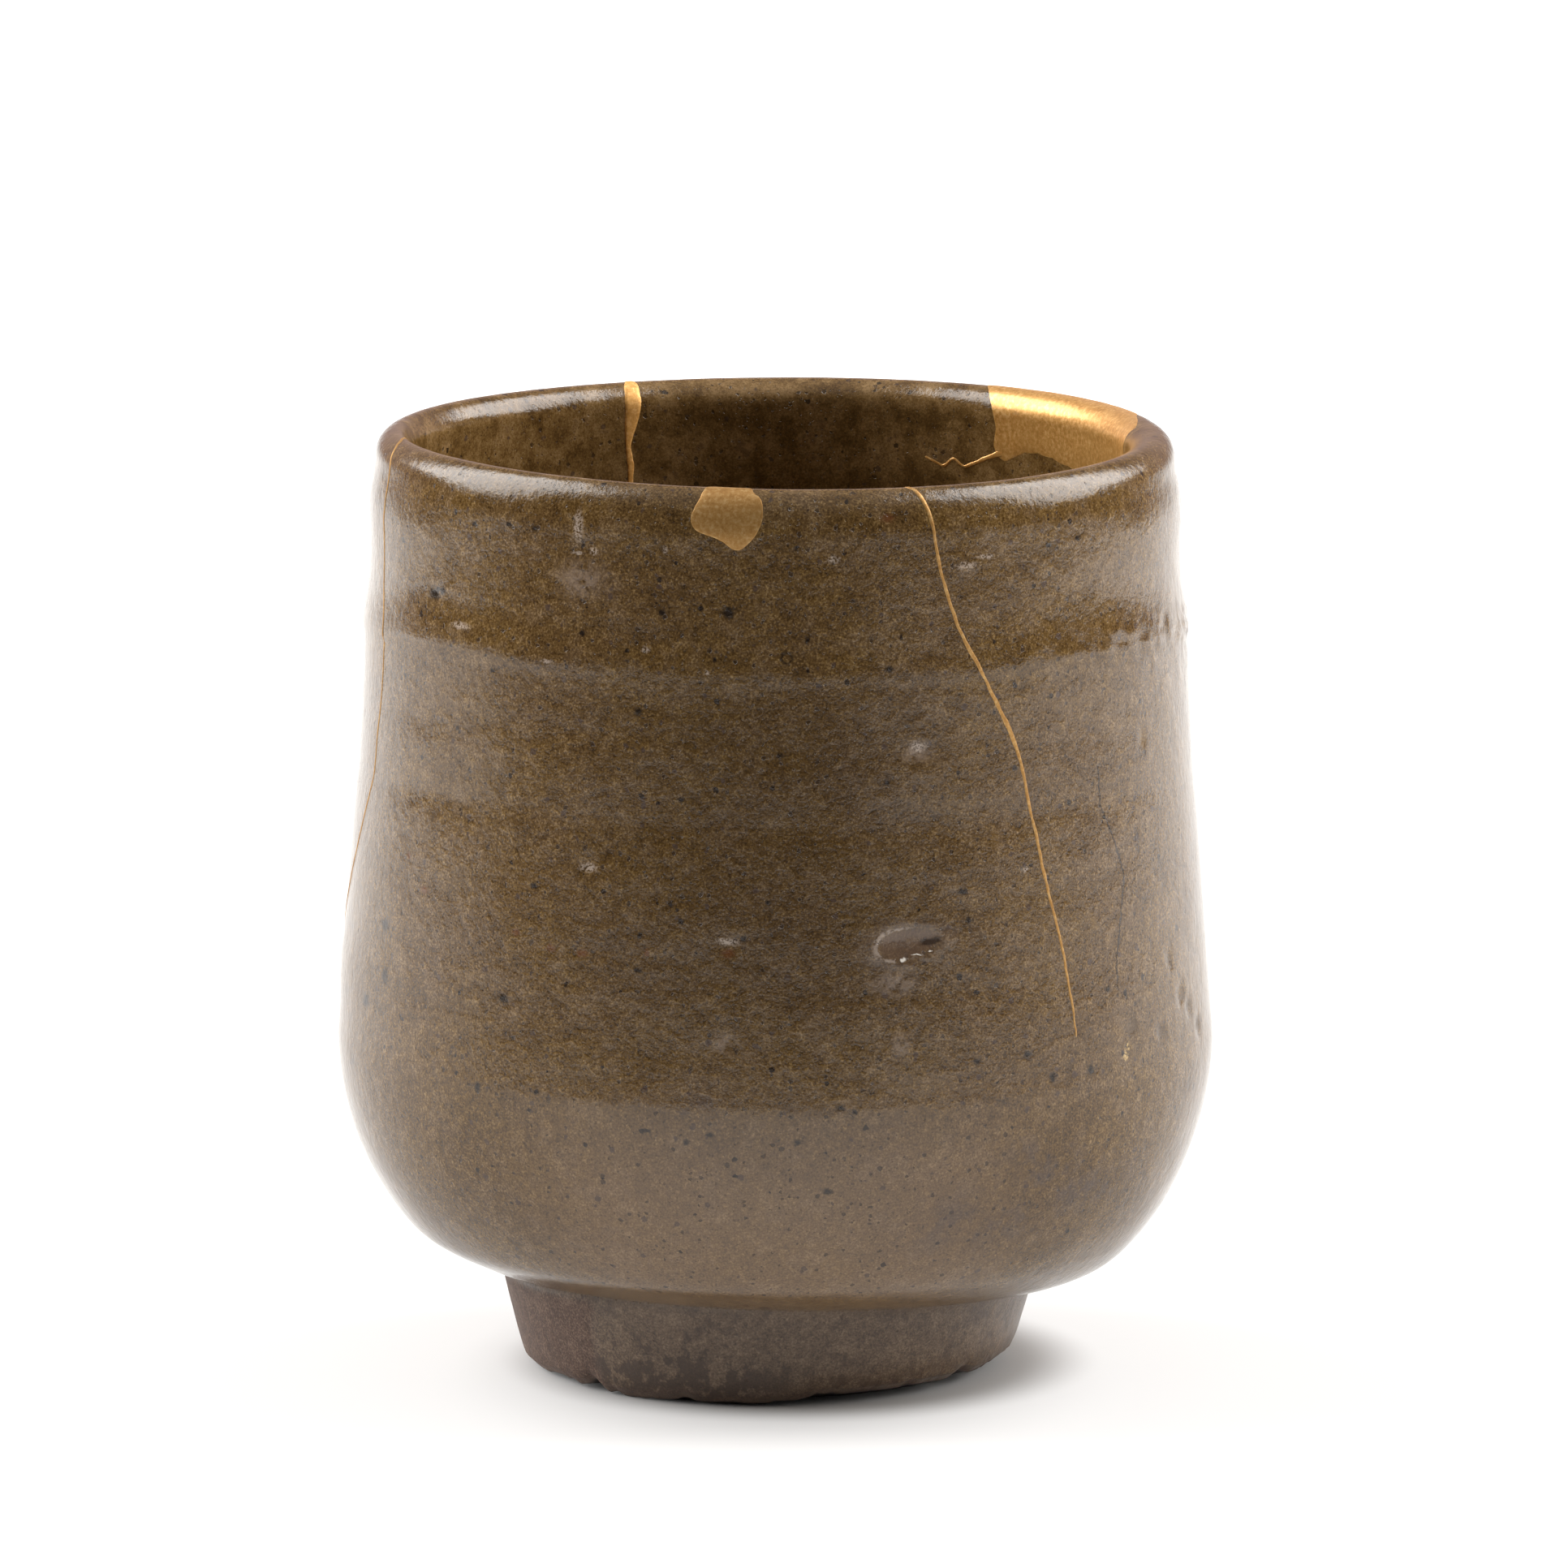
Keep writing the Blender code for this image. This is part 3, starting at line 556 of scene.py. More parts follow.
def gold_seam(name, crack, seed, proud=SEAM_PROUD, step=SEAM_STEP, unevenness=0.22):
    """Points of (angle, run in mm, width in mm); the section is an oval whose ends shrink to a point."""
    line = smooth_curve(crack, SEAM_SPAN_STEPS)
    flat = line[:, :2] * np.array([MM_PER_DEGREE, 1.0])
    lengths = np.concatenate([[0.0], np.cumsum(np.linalg.norm(np.diff(flat, axis=0), axis=1))])
    places = np.linspace(0, lengths[-1], int(lengths[-1] / step) + 2)
    angle, run, width = (np.interp(places, lengths, line[:, k]) for k in range(3))
    wobble = SEAM_WANDER * clay_waves(places * 4, 0 * places, 90, 1 * MM, seed)
    uneven = 1 + unevenness * clay_waves(places * 6, 0 * places, 90, 1 * MM, seed + 1)
    tangent = np.gradient(np.stack([angle * MM_PER_DEGREE, run], axis=1), axis=0)
    tangent /= np.linalg.norm(tangent, axis=1)[:, None]
    side = np.stack([-tangent[:, 1], tangent[:, 0]], axis=1)
    ends = np.clip(np.minimum(places, lengths[-1] - places) / SEAM_END, 0, 1) ** 0.5
    half = width / 2 * uneven * ends
    turn = np.linspace(0, 2 * np.pi, SEAM_SECTION, endpoint=False)
    across = half[:, None] * np.cos(turn)[None, :] + wobble[:, None]
    middle, tall = (proud - SEAM_DEPTH) / 2, (proud + SEAM_DEPTH) / 2
    flat_top = np.sign(np.sin(turn)) * np.abs(np.sin(turn)) ** SEAM_FLATNESS
    lift = middle + tall * flat_top[None, :] * (0.4 + 0.6 * ends)[:, None]
    seam_angle = angle[:, None] + side[:, :1] * across / MM_PER_DEGREE
    seam_run = (run[:, None] + side[:, 1:] * across) * MM
    sx, sy, sz = cup_surface(seam_angle, seam_run, lift)
    return name, sx, sy, sz, seam_angle, seam_run


# %% [markdown]
# ## The five repairs
# The largest repair stands for a shard lost from the rim at the back right. It covers the inner wall, goes
# over the lip and shows outside too, and a hair of gold runs on from its lower corner. The others are a chip
# at the front, a long seam at the front right, one at the left and a drop-shaped one at the back.

# %% The rim repair: outline, patch and branch
# Distance to the right of the lip's inner edge, and below its top, in mm, from the left corner on
BREAK_LOWER_EDGE = (
    (-11.5, 3.5), (-11.7, 5.2), (-11.4, 6.2), (-10.6, 6.6), (-9.9, 6.15), (-8.9, 5.5),
    (-7.7, 5.35), (-6.4, 5.55), (-5.0, 6.0), (-3.4, 6.2), (-1.0, 5.2), (0.4, 3.6),
)
BREAK_TOP_LEFT, BREAK_TOP_RIGHT, BREAK_INNER_START = -12.2, 1.0, 4.4
BREAK_CENTRE = np.array([124.0, 0.0])


def break_outline():
    """Lower edge inside, right edge over the lip, lower edge outside, left edge back over the lip."""
    edge = np.array(BREAK_LOWER_EDGE) * MM
    over = np.linspace(-1, 1, 25)[1:-1]
    down = np.abs(over)[:, None]
    left, right = (np.hstack([top * MM * (1 - down) + end[0] * down, end[1] * down])
                   for top, end in ((BREAK_TOP_LEFT, edge[0]), (BREAK_TOP_RIGHT, edge[-1])))
    seen = np.concatenate([edge, right, edge[::-1], left])
    side = np.concatenate([-np.ones(len(edge)), np.sign(over), np.ones(len(edge)), -np.sign(over)])
    run = run_at_drop(seen[:, 1], side)
    radius = np.interp(run, RUNS, LINE[:, 0])
    distance = LIP_INNER_RADIUS + seen[:, 0]
    angle = 180 - np.degrees(np.arcsin(np.clip(distance / radius, 0, 1)))
    inner_end = 90 + np.degrees(np.arcsin(BREAK_INNER_START * MM / radius))
    return np.stack([np.maximum(angle, inner_end), run], axis=1)


def join_parts(name, *parts):
    """One object out of several closed grids."""
    pieces = [closed_mesh(*part) for part in parts]
    with bpy.context.temp_override(active_object=pieces[0], selected_editable_objects=pieces):
        bpy.ops.object.join()
    pieces[0].name = name
    return pieces[0]


BRANCH = ((138.5, -7.2, 0.9), (140.6, -7.45, 0.75), (142.9, -7.9, 0.5), (146.7, -8.8, 0.35),
          (148.9, -8.2, 0.35), (150.7, -8.9, 0.32), (151.8, -8.8, 0.3), (154.6, -8.1, 0.2))
rim_patch = gold_patch("rim_patch", break_outline(), BREAK_CENTRE, spokes=420, rounds=60)
rim_branch = gold_seam("rim_branch", BRANCH, seed=51, proud=0.05 * MM, step=0.12)
rim_gold = join_parts("rim_gold", rim_patch, rim_branch)

# %% The chip at the front
# Distance to the right of the middle, and run, in mm
CHIP_EDGE = (
    (-5.7, -0.25), (-6.5, 0.9), (-6.8, 1.7), (-7.2, 2.5), (-7.55, 3.4), (-7.5, 4.1), (-7.1, 4.7),
    (-6.3, 5.05), (-5.5, 5.3), (-4.7, 5.65), (-4.25, 6.0), (-3.8, 6.3), (-3.2, 6.35), (-2.6, 5.95),
    (-1.9, 5.2), (-1.45, 4.4), (-1.15, 3.5), (-1.15, 2.2), (-1.4, 1.5), (-1.95, 0.9), (-2.5, -0.25),
)
CHIP_CENTRE = np.array([-7.0, 2.6 * MM])


def chip_outline():
    """Distance from the middle becomes an angle through the radius of the wall at that run."""
    across, run = (smooth_curve(CHIP_EDGE, 8, closed=True) * MM).T
    return np.stack([np.degrees(np.arcsin(across / np.interp(run, RUNS, LINE[:, 0]))), run], axis=1)


chip_gold = closed_mesh(*gold_patch("chip_gold", chip_outline(), CHIP_CENTRE, spokes=220, rounds=36))

# %% The seams: angle, run in mm and width in mm
FRONT_RIGHT_CRACK = (
    (19.8, -9.0, 0.4), (20.4, -1.0, 0.55), (21.3, 1.0, 0.5), (22.4, 3.3, 0.46), (23.2, 6.0, 0.4),
    (24.0, 8.9, 0.36), (25.6, 12.2, 0.36), (27.0, 14.6, 0.4), (28.6, 16.5, 0.4), (30.0, 18.2, 0.36),
    (32.0, 20.8, 0.48), (34.1, 23.5, 0.48), (35.7, 26.4, 0.4), (36.7, 29.8, 0.36), (37.7, 32.8, 0.36),
    (38.8, 36.7, 0.34), (40.8, 42.0, 0.3), (41.9, 46.0, 0.28), (42.7, 50.3, 0.24), (42.8, 52.0, 0.18),
)
LEFT_CRACK = (
    (-84.5, -8.5, 0.25), (-83.0, -3.0, 0.3), (-80.0, -0.6, 0.35), (-75.6, 1.0, 0.32), (-72.9, 3.0, 0.3),
    (-72.3, 5.5, 0.28), (-72.3, 9.3, 0.26), (-72.4, 13.7, 0.25), (-70.2, 17.7, 0.28), (-70.4, 22.0, 0.25),
    (-71.9, 27.9, 0.24), (-73.6, 32.4, 0.24), (-79.0, 38.6, 0.24), (-86.6, 44.4, 0.2), (-92.5, 48.1, 0.12),
)
BACK_CRACK = (
    (-155.0, -18.0, 0.4), (-155.1, -9.8, 0.8), (-154.9, -8.6, 0.85), (-154.6, -7.2, 0.7), (-154.7, -6.1, 1.1),
    (-154.9, -4.8, 1.75), (-155.3, -3.0, 2.1), (-155.6, -1.6, 1.9), (-156.3, 0.0, 1.2), (-156.9, 3.0, 0.6),
    (-157.5, 12.0, 0.3),
)
front_seam = closed_mesh(*gold_seam("front_right_gold", FRONT_RIGHT_CRACK, seed=61))
left_seam = closed_mesh(*gold_seam("left_gold", LEFT_CRACK, seed=71))
back_seam = closed_mesh(*gold_seam("back_gold", BACK_CRACK, seed=81, proud=0.07 * MM, unevenness=0.06))

GOLD_PIECES = ((rim_gold, "rim_break_fill"), (chip_gold, "front_chip_fill"), (front_seam, "front_right_seam"),
               (left_seam, "left_seam"), (back_seam, "back_seam"))
for piece, node in GOLD_PIECES:
    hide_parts(node)
    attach(piece, "root")
print("repairs:", [piece.name for piece, _ in GOLD_PIECES])

# %% [markdown]
# # Finishes
# A material is a network of small nodes. Wiring them by hand hides the arithmetic, so one small class wraps a
# socket and lets an ordinary sum or product add the Math node it stands for. A second class holds the material
# and has one method for every other node: its settings first, then the values or links of its sockets.

# %% Sockets that can be added and multiplied
class Wire:
    """One output socket; arithmetic on it adds Math nodes to the same material."""

    def __init__(self, paint, socket):
        self.paint, self.socket = paint, socket

    def also(self, output):
        """Another output of the same node."""
        return Wire(self.paint, self.socket.node.outputs[output])

    def math(self, operation, first, second=None, clamp=False):
        return self.paint.node("Math", {"operation": operation, "use_clamp": clamp}, (first, second))

    __add__ = __radd__ = lambda self, other: self.math("ADD", self, other)
    __mul__ = __rmul__ = lambda self, other: self.math("MULTIPLY", self, other)
    __sub__ = lambda self, other: self.math("SUBTRACT", self, other)
    __rsub__ = lambda self, other: self.math("SUBTRACT", other, self)
    __truediv__ = lambda self, other: self.math("DIVIDE", self, other)
    __abs__ = lambda self: self.math("ABSOLUTE", self)
    most = lambda self, other: self.math("MAXIMUM", self, other)
    least = lambda self, other: self.math("MINIMUM", self, other)
    held = lambda self: self.math("ADD", self, 0.0, clamp=True)


def tone(red, green, blue):
    """A colour as a screen shows it (0 to 255) turned into the linear light that the shader wants."""
    linear = [((c / 255 + 0.055) / 1.055) ** 2.4 if c > 10 else c / 255 / 12.92 for c in (red, green, blue)]
    return (*linear, 1.0)


# %% A material and its nodes
class Paint:
    """A material, or a world, with its shader; node() adds a node, sets it up and plugs its sockets."""

    def __init__(self, name, world=False):
        self.block = bpy.data.worlds.new(name) if world else bpy.data.materials.new(name)
        self.block.use_nodes = True
        self.tree = self.block.node_tree
        self.shader = self.tree.nodes["Background" if world else "Principled BSDF"]

    def plug(self, value, socket):
        if isinstance(value, Wire):
            self.tree.links.new(value.socket, socket)
        elif value is not None:
            socket.default_value = value

    def node(self, kind, settings=None, sockets=(), output=0):
        made = self.tree.nodes.new("ShaderNode" + kind)
        for key, value in (settings or {}).items():
            if key == "stops":
                ramp = made.color_ramp.elements
                while len(ramp) < len(value):
                    ramp.new(0.5)
                for stop, (position, shade) in zip(ramp, value):
                    stop.position, stop.color = position, shade
            else:
                setattr(made, key, value)
        for key, value in (sockets.items() if isinstance(sockets, dict) else enumerate(sockets)):
            self.plug(value, made.inputs[key])
        return Wire(self, made.outputs[output])

    def finish(self, **sockets):
        """Plug the shader's own sockets, named with _ for a space, and give the material."""
        for key, value in sockets.items():
            self.plug(value, self.shader.inputs[key.replace("_", " ")])
        return self.block

    def place(self):
        """The point itself, in the object's own coordinates."""
        return self.node("TexCoord").also(3)

    def along(self, place, axis):
        """One coordinate of a place: axis 0 runs to the right, 1 to the back and 2 up."""
        return self.node("SeparateXYZ", {}, (place,), axis)

    def vector(self, operation, *values):
        return self.node("VectorMath", {"operation": operation}, values)

    def length(self, vector):
        return self.vector("LENGTH", vector).also(1)

    def step(self, value, low, high):
        """Smooth step from 0 at low to 1 at high; low may be above high, and the step then falls."""
        ends, out = ((low, high), (0.0, 1.0)) if low < high else ((high, low), (1.0, 0.0))
        return self.node("MapRange", {"interpolation_type": "SMOOTHSTEP"}, (value, *ends, *out))

    def noise(self, place, scale, detail=2.0, roughness=0.5):
        sockets = {"Vector": place, "Scale": scale, "Detail": detail, "Roughness": roughness}
        return self.node("TexNoise", {}, sockets)

    def bump(self, distance, height):
        return self.node("Bump", {}, {"Strength": 1.0, "Distance": distance, "Height": height})

    def shaded(self, factor, stops, *tones):
        """Colour ramp through screen colours, one at each stop."""
        stops = [(stop, tone(*shade)) for stop, shade in zip(stops, tones)]
        return self.node("ValToRGB", {"stops": stops}, (factor,))

    def blend(self, factor, first, second):
        return self.node("Mix", {"data_type": "RGBA"}, {0: factor, 6: first, 7: second}, 2)

    def layered(self, wash, *layers):
        """Lay each (mask, strength, colour) over the wash in turn; the colour is a screen's or a wire."""
        for mask, strength, shade in layers:
            wash = self.blend(mask * strength, wash, shade if isinstance(shade, Wire) else tone(*shade))
        return wash


# %% [markdown]
# ## The ash glaze
# Thin ash glaze over an iron-bearing clay breaks up into fine grains of dark brown, olive, tan and a little
# grey. A flat brown with noise would look like plastic, so the grains are built in layers, each at its own
# scale: fine grain, mottles, dark specks and broad clouds. The pinholes and the burst pebble have a place of
# their own, so these read the map of angle and run, and everything else reads the object's own coordinates.

# %% Where on the wall
SHIVER_SCALE, SHIVER_ON_WALL, SHIVER_ON_SPECKS = 2300.0, 0.5, 0.45 * MM
TO_MM = (ANGLE_SPAN * MM_PER_DEGREE, RUN_SPAN / MM, 0.0)
FROM_MIDDLE = (-ANGLE_SPAN / 2 * MM_PER_DEGREE, RUN_LOW / MM, 0.0)
glaze = Paint("ash_glaze")
here = glaze.place()
shiver = glaze.noise(here, SHIVER_SCALE).also(1)
wall_mm = glaze.vector("MULTIPLY_ADD", glaze.node("UVMap", {"uv_map": "wall"}), TO_MM, FROM_MIDDLE)
shaken = glaze.vector("MULTIPLY_ADD", shiver, (SHIVER_ON_WALL, SHIVER_ON_WALL, 0.0),
                      (-SHIVER_ON_WALL / 2, -SHIVER_ON_WALL / 2, 0.0))
wall_mm = glaze.vector("ADD", wall_mm, shaken)
across_mm, run_mm = glaze.along(wall_mm, 0), glaze.along(wall_mm, 1)


def oval_distance(angle, drop, half_width, half_height):
    """Distance from the middle of an oval mark, measured in its own half widths."""
    scale = (1 / half_width, 1 / half_height, 0.0)
    shift = (-angle * MM_PER_DEGREE / half_width, -(drop + DROP_TO_RUN) / half_height, 0.0)
    return glaze.length(glaze.vector("MULTIPLY_ADD", wall_mm, scale, shift))


def spots(marks, edge):
    """1 inside any of the oval marks and 0 outside: a smooth step of the distance from the nearest."""
    nearest = oval_distance(*marks[0])
    for mark in marks[1:]:
        nearest = nearest.least(oval_distance(*mark))
    return glaze.step(nearest, 1 + edge, 1 - edge)


# %% Grain, mottles and clouds
FOUR_STOPS, THREE_STOPS, INNER_STOPS = (0.38, 0.47, 0.54, 0.64), (0.38, 0.50, 0.62), (0.40, 0.50, 0.60)
# Drops and distances across in mm: a band of painted shade across the front, and painted light low on the
# front
FRONT_SHADE_TOP, FRONT_SHADE_BOTTOM, FRONT_SHADE_SIDES = (15.0, 24.0), (54.0, 42.0), (24.0, 6.0)
LOWER_FRONT_LIGHT_TOP, LOWER_FRONT_LIGHT_SIDES = (50.0, 66.0), (30.0, 14.0)
# Scale, detail and roughness of each noise
NOISES = ((4800.0, 3.0, 0.75), (1150.0, 3.0, 0.6), (380.0, 4.0, 0.65), (95.0, 3.0, 0.6))
grain, mottle, drifts, clouds = (glaze.noise(here, *noise) for noise in NOISES)
blotch = grain * 0.62 + mottle * 0.22 + drifts * 0.16
brown = glaze.shaded(blotch, FOUR_STOPS, (48, 33, 14), (80, 59, 32), (97, 74, 43), (142, 116, 78))
olive = glaze.shaded(blotch, FOUR_STOPS, (58, 40, 12), (90, 66, 26), (108, 82, 36), (148, 120, 70))
mauve = glaze.shaded(blotch, THREE_STOPS, (58, 44, 31), (86, 69, 53), (116, 98, 82))
inner = glaze.shaded(drifts * 0.6 + grain * 0.4, INNER_STOPS, (76, 54, 26), (108, 82, 46), (140, 112, 74))
wash = glaze.layered(brown, (glaze.step(clouds, 0.42, 0.60), 0.30, olive),
                     (glaze.step(drifts, 0.50, 0.60), 0.30, mauve))
wash = glaze.blend(glaze.step(run_mm, -2.5, 1.5), inner, wash)
across = abs(across_mm)
# Painted shade darkens a band across the middle of the front; painted light brightens the lower front
front_shade = glaze.step(run_mm, *FRONT_SHADE_TOP) * glaze.step(run_mm, *FRONT_SHADE_BOTTOM)
front_shade = front_shade * glaze.step(across, *FRONT_SHADE_SIDES)
lower_front_light = glaze.step(run_mm, *LOWER_FRONT_LIGHT_TOP) * glaze.step(across, *LOWER_FRONT_LIGHT_SIDES)
wash = glaze.layered(wash, (front_shade, 0.26, (48, 32, 12)), (lower_front_light, 0.28, (140, 117, 96)))


# %% Specks of iron and of ash
SPECK_EDGE = 0.04


def specks(scale, rare, size, offset):
    """Spots in the cells of a Voronoi pattern: many cells stay empty and the others draw their own size."""
    distance = glaze.node("TexVoronoi", {}, {"Vector": glaze.vector("ADD", shaky, offset), "Scale": scale})
    chance = glaze.node("SeparateColor", {}, (distance.also(1),))
    radius = (chance - rare).most(0.0) * (size / (1 - rare))
    return glaze.step(distance - radius, 0.0, -SPECK_EDGE)


shaky = glaze.vector("MULTIPLY_ADD", shiver, (SHIVER_ON_SPECKS,) * 3, here)
# Cells per metre, share of cells left empty, largest radius in cells, and a shift so that no two agree
SPECKS = ((600.0, 0.60, 0.20, (0.0, 0.0, 0.0)), (1250.0, 0.40, 0.30, (0.3, 0.1, 0.0)),
          (2600.0, 0.35, 0.34, (0.2, 0.5, 0.4)), (700.0, 0.45, 0.25, (0.1, 0.7, 0.2)))
big_specks, small_specks, pits, ash_flecks = (specks(*kind) for kind in SPECKS)
rust = glaze.step(drifts, 0.56, 0.64) * glaze.step(run_mm, -2.0, -4.0) * glaze.step(mottle, 0.44, 0.56)
wash = glaze.layered(
    wash, (ash_flecks, 0.65, (60, 48, 46)), (pits, 0.35, (44, 30, 16)), (small_specks, 0.68, (38, 27, 20)),
    (big_specks, 0.85, (26, 18, 14)), (rust, 0.45, (48, 22, 8)))

# %% [markdown]
# ## Marks in the glaze
# Some pinholes, iron spots and hazy places can be seen one by one, so each is placed by its angle and its drop
# below the lip. They could be painted by hand on an image, but a short table is easier to change. A hairline
# crack, too thin for the mesh, wanders down the right side: its angle is a ramp along the run.

# %% Specks, pits, rust, pale marks and glints, and haze: angle, drop, half width and half height in mm
DARK_SPECKS = (
    (-6.5, 10.6, .59, .51), (-10.4, 10.4, .3, .26), (-16, 10.9, .31, .29), (-27.7, 13.3, .25, .22),
    (-20.8, 14.5, .24, .22), (-8.4, 14.9, .22, .22), (-19, 19.9, .39, .33), (-12.8, 27.5, .3, .26),
    (.5, 23.3, .29, .29), (-42.4, 17.6, .3, .22), (-55.6, 11.8, .78, .51), (-53.6, 11.4, .5, .29),
    (-36, 4.4, .36, .26), (-40.6, 4.4, .34, .22), (-47.3, 4.8, .38, .22), (4.4, 13, .29, .26),
    (2.9, 4.8, .22, .22), (15.9, 15.7, .38, .26), (17.8, 12.9, .19, .29), (47.9, 5.5, .33, .26),
    (42.1, 5.7, .35, .26), (15.4, 25.9, .23, .22), (-33.9, 36.3, .35, .29), (-13.9, 36.9, .23, .29),
    (-12.5, 38.4, .26, .29), (-18.1, 39.9, .23, .22), (-4.2, 39.8, .29, .26), (-18.3, 43, .31, .22),
    (-1, 36.5, .26, .22), (-38.1, 46.8, .47, .44), (-41.8, 55.1, .39, .44), (-64.1, 42.7, .67, .51),
    (-63.2, 47.2, .49, .66), (-68.9, 50.1, .61, .59), (-32.3, 54.8, .26, .22), (-8.4, 57.5, .3, .22),
    (-11.5, 58.3, .26, .26), (-16.6, 57.4, .35, .18), (25.7, 36.1, .41, .29), (26.6, 38.7, .33, .29),
    (34.6, 51.3, .4, .33), (26.9, 51.5, .29, .26), (45.2, 53.7, .37, .44), (38.6, 53.8, .33, .44),
    (2.8, 58.1, .33, .29), (10.2, 55.4, .26, .22), (8.4, 55, .33, .26), (6.9, 62.9, .41, .29),
    (49.3, 46.7, .34, .26), (-2.5, 81.4, .66, .44), (-5.6, 80.8, .3, .22), (10.6, 80.6, .6, .15),
)
OPEN_PITS = (
    (65.1, 45.7, .52, .44), (68.6, 49.7, .6, .37), (71, 50.7, 1.02, .59), (74.8, 53, 1.12, .81),
    (54.2, 50.6, .88, .88), (61.2, 51.8, .76, .66), (56.1, 48.6, .33, .44),
)
RUST_SPOTS = (
    (-54.3, 38.5, .5, .29), (-58.7, 35.8, .28, .29), (16.2, 2.2, .6, .34), (-17, 41.4, .19, .29),
    (-26.2, 41.9, .49, .29), (-31, 41.7, .39, .29), (-36.5, 40.7, .37, .26), (-6.2, 41.1, .52, .37),
)
# Some of these are pale flecks in the glaze and some are painted highlights: small glints
PALE_MARKS_AND_GLINTS = (
    (-28.8, 3.8, .42, 1.25), (-28.8, 6.2, .59, .12), (-26.3, 5.9, .37, .33), (-15.6, 5.3, .27, .29),
    (8.2, 5.8, .52, .29), (27.8, 6.8, .91, .29), (31, 6.1, .77, .18), (-48.9, 14.1, 1.01, .29),
    (-33, 16.1, .53, .15), (-9.4, 16.1, .22, .15), (-18.1, 14.3, .35, .26), (35.6, 34.7, .36, .22),
    (-25.7, 34.2, .73, .37), (-6.2, 40.1, .89, .29), (19.8, 22.8, .7, .4),
)
HAZE = ((-27.9, 8.4, 2.3, 1.4), (19.8, 23.4, 1.25, .7), (15.6, 44.0, 1.84, 1.0), (-6.5, 49.3, 1.04, .74),
        (16.5, 49.4, .77, .88))
SMOKE = ((-9.4, 54.7, .97, .59), (-11.6, 55.5, .45, .29), (47, 65.4, 5.5, 1.8), (28, 67.2, 6.0, 3.0),
         (38, 62.0, 4.0, 2.4))
OCHRE = ((61.5, 25, .6, .88), (30.9, 31.7, .43, .66), (47.2, 40.4, .43, .59))
GOLD_FLECKS = ((53, 52.3, .3, .3), (52.4, 53.1, .28, .44))
RING_OUTSIDE, RING_INSIDE = (1.6, 14.6, .6, .62), (1.6, 14.6, .36, .4)
PEBBLE_GLINTS = ((16.9, 41.85, .22, .14), (19.0, 41.45, .45, .06), (20.8, 41.2, .2, .05))
dark_specks, open_pits, rust_spots = spots(DARK_SPECKS, 0.6), spots(OPEN_PITS, 0.5), spots(RUST_SPOTS, 0.7)
pale_marks_and_glints = spots(PALE_MARKS_AND_GLINTS, 0.7) * glaze.step(grain, 0.42, 0.54)
haze = spots(HAZE, 0.8) * glaze.step(mottle, 0.30, 0.60)
smoke = spots(SMOKE, 0.9) * glaze.step(drifts, 0.38, 0.60)
ochre, flecks = spots(OCHRE, 0.7), spots(GOLD_FLECKS, 0.6) * glaze.step(grain, 0.46, 0.54)
ring_mark = spots((RING_OUTSIDE,), 0.25) - spots((RING_INSIDE,), 0.3)

# %% The hairline crack: drop in mm, angle
HAIRLINE = ((25.9, 50.0), (30.0, 50.2), (33.8, 52.9), (36.7, 54.4), (40.0, 53.2), (44.3, 51.6), (47.7, 51.4))
HAIRLINE_REACH = 100.0
hair_stops = [((drop + DROP_TO_RUN) / HAIRLINE_REACH, (*[angle / HAIRLINE_REACH] * 3, 1.0))
              for drop, angle in HAIRLINE]
hair_ramp = glaze.node("ValToRGB", {"stops": hair_stops}, (run_mm / HAIRLINE_REACH,))
hair_across = glaze.node("SeparateColor", {}, (hair_ramp,)) * (HAIRLINE_REACH * MM_PER_DEGREE)
hairline = glaze.step(abs(across_mm - hair_across), 0.16, 0.05)
hairline = hairline * glaze.step(run_mm, 26.0, 29.0) * glaze.step(run_mm, 49.5, 47.0)

# %% The burst pebble's edge and floor
pit_across = across_mm - HOLLOW_ANGLE * MM_PER_DEGREE
pit_down = run_mm - (HOLLOW_DROP + DROP_TO_RUN) + pit_across * HOLLOW_SLANT
pit_share = pit_down / (pit_across * -HOLLOW_TAPER + HOLLOW_HALF_HEIGHT).most(HOLLOW_LEAST_HEIGHT)
pit_far = pit_across * pit_across / HOLLOW_HALF_WIDTH ** 2 + pit_share * pit_share
pit_floor = glaze.step(pit_far, 0.95, 0.60)
pit_edge = glaze.step(pit_far, 0.85, 1.0) * glaze.step(pit_far, 1.35, 1.1)
pit_pale = pit_edge * glaze.step(pit_across, 1.5, -1.5) * glaze.step(mottle, 0.42, 0.54)
pit_slit = glaze.step(pit_far, 1.0, 0.8) * glaze.step(pit_across, 0.8, 1.4)
pit_slit = pit_slit * glaze.step(abs(pit_down - 0.15), 0.42, 0.15)
pit_glint = spots(PEBBLE_GLINTS, 0.5)
pit_haze = glaze.step(pit_far, 3.4, 1.0)

# %% [markdown]
# ## Bare clay at the foot
# The potter wiped the glaze off part of the foot, and the clay there fired reddish and dull. Which part is
# bare follows the shape, so numpy works it out and the mesh keeps it as an attribute that the glaze mixes by.

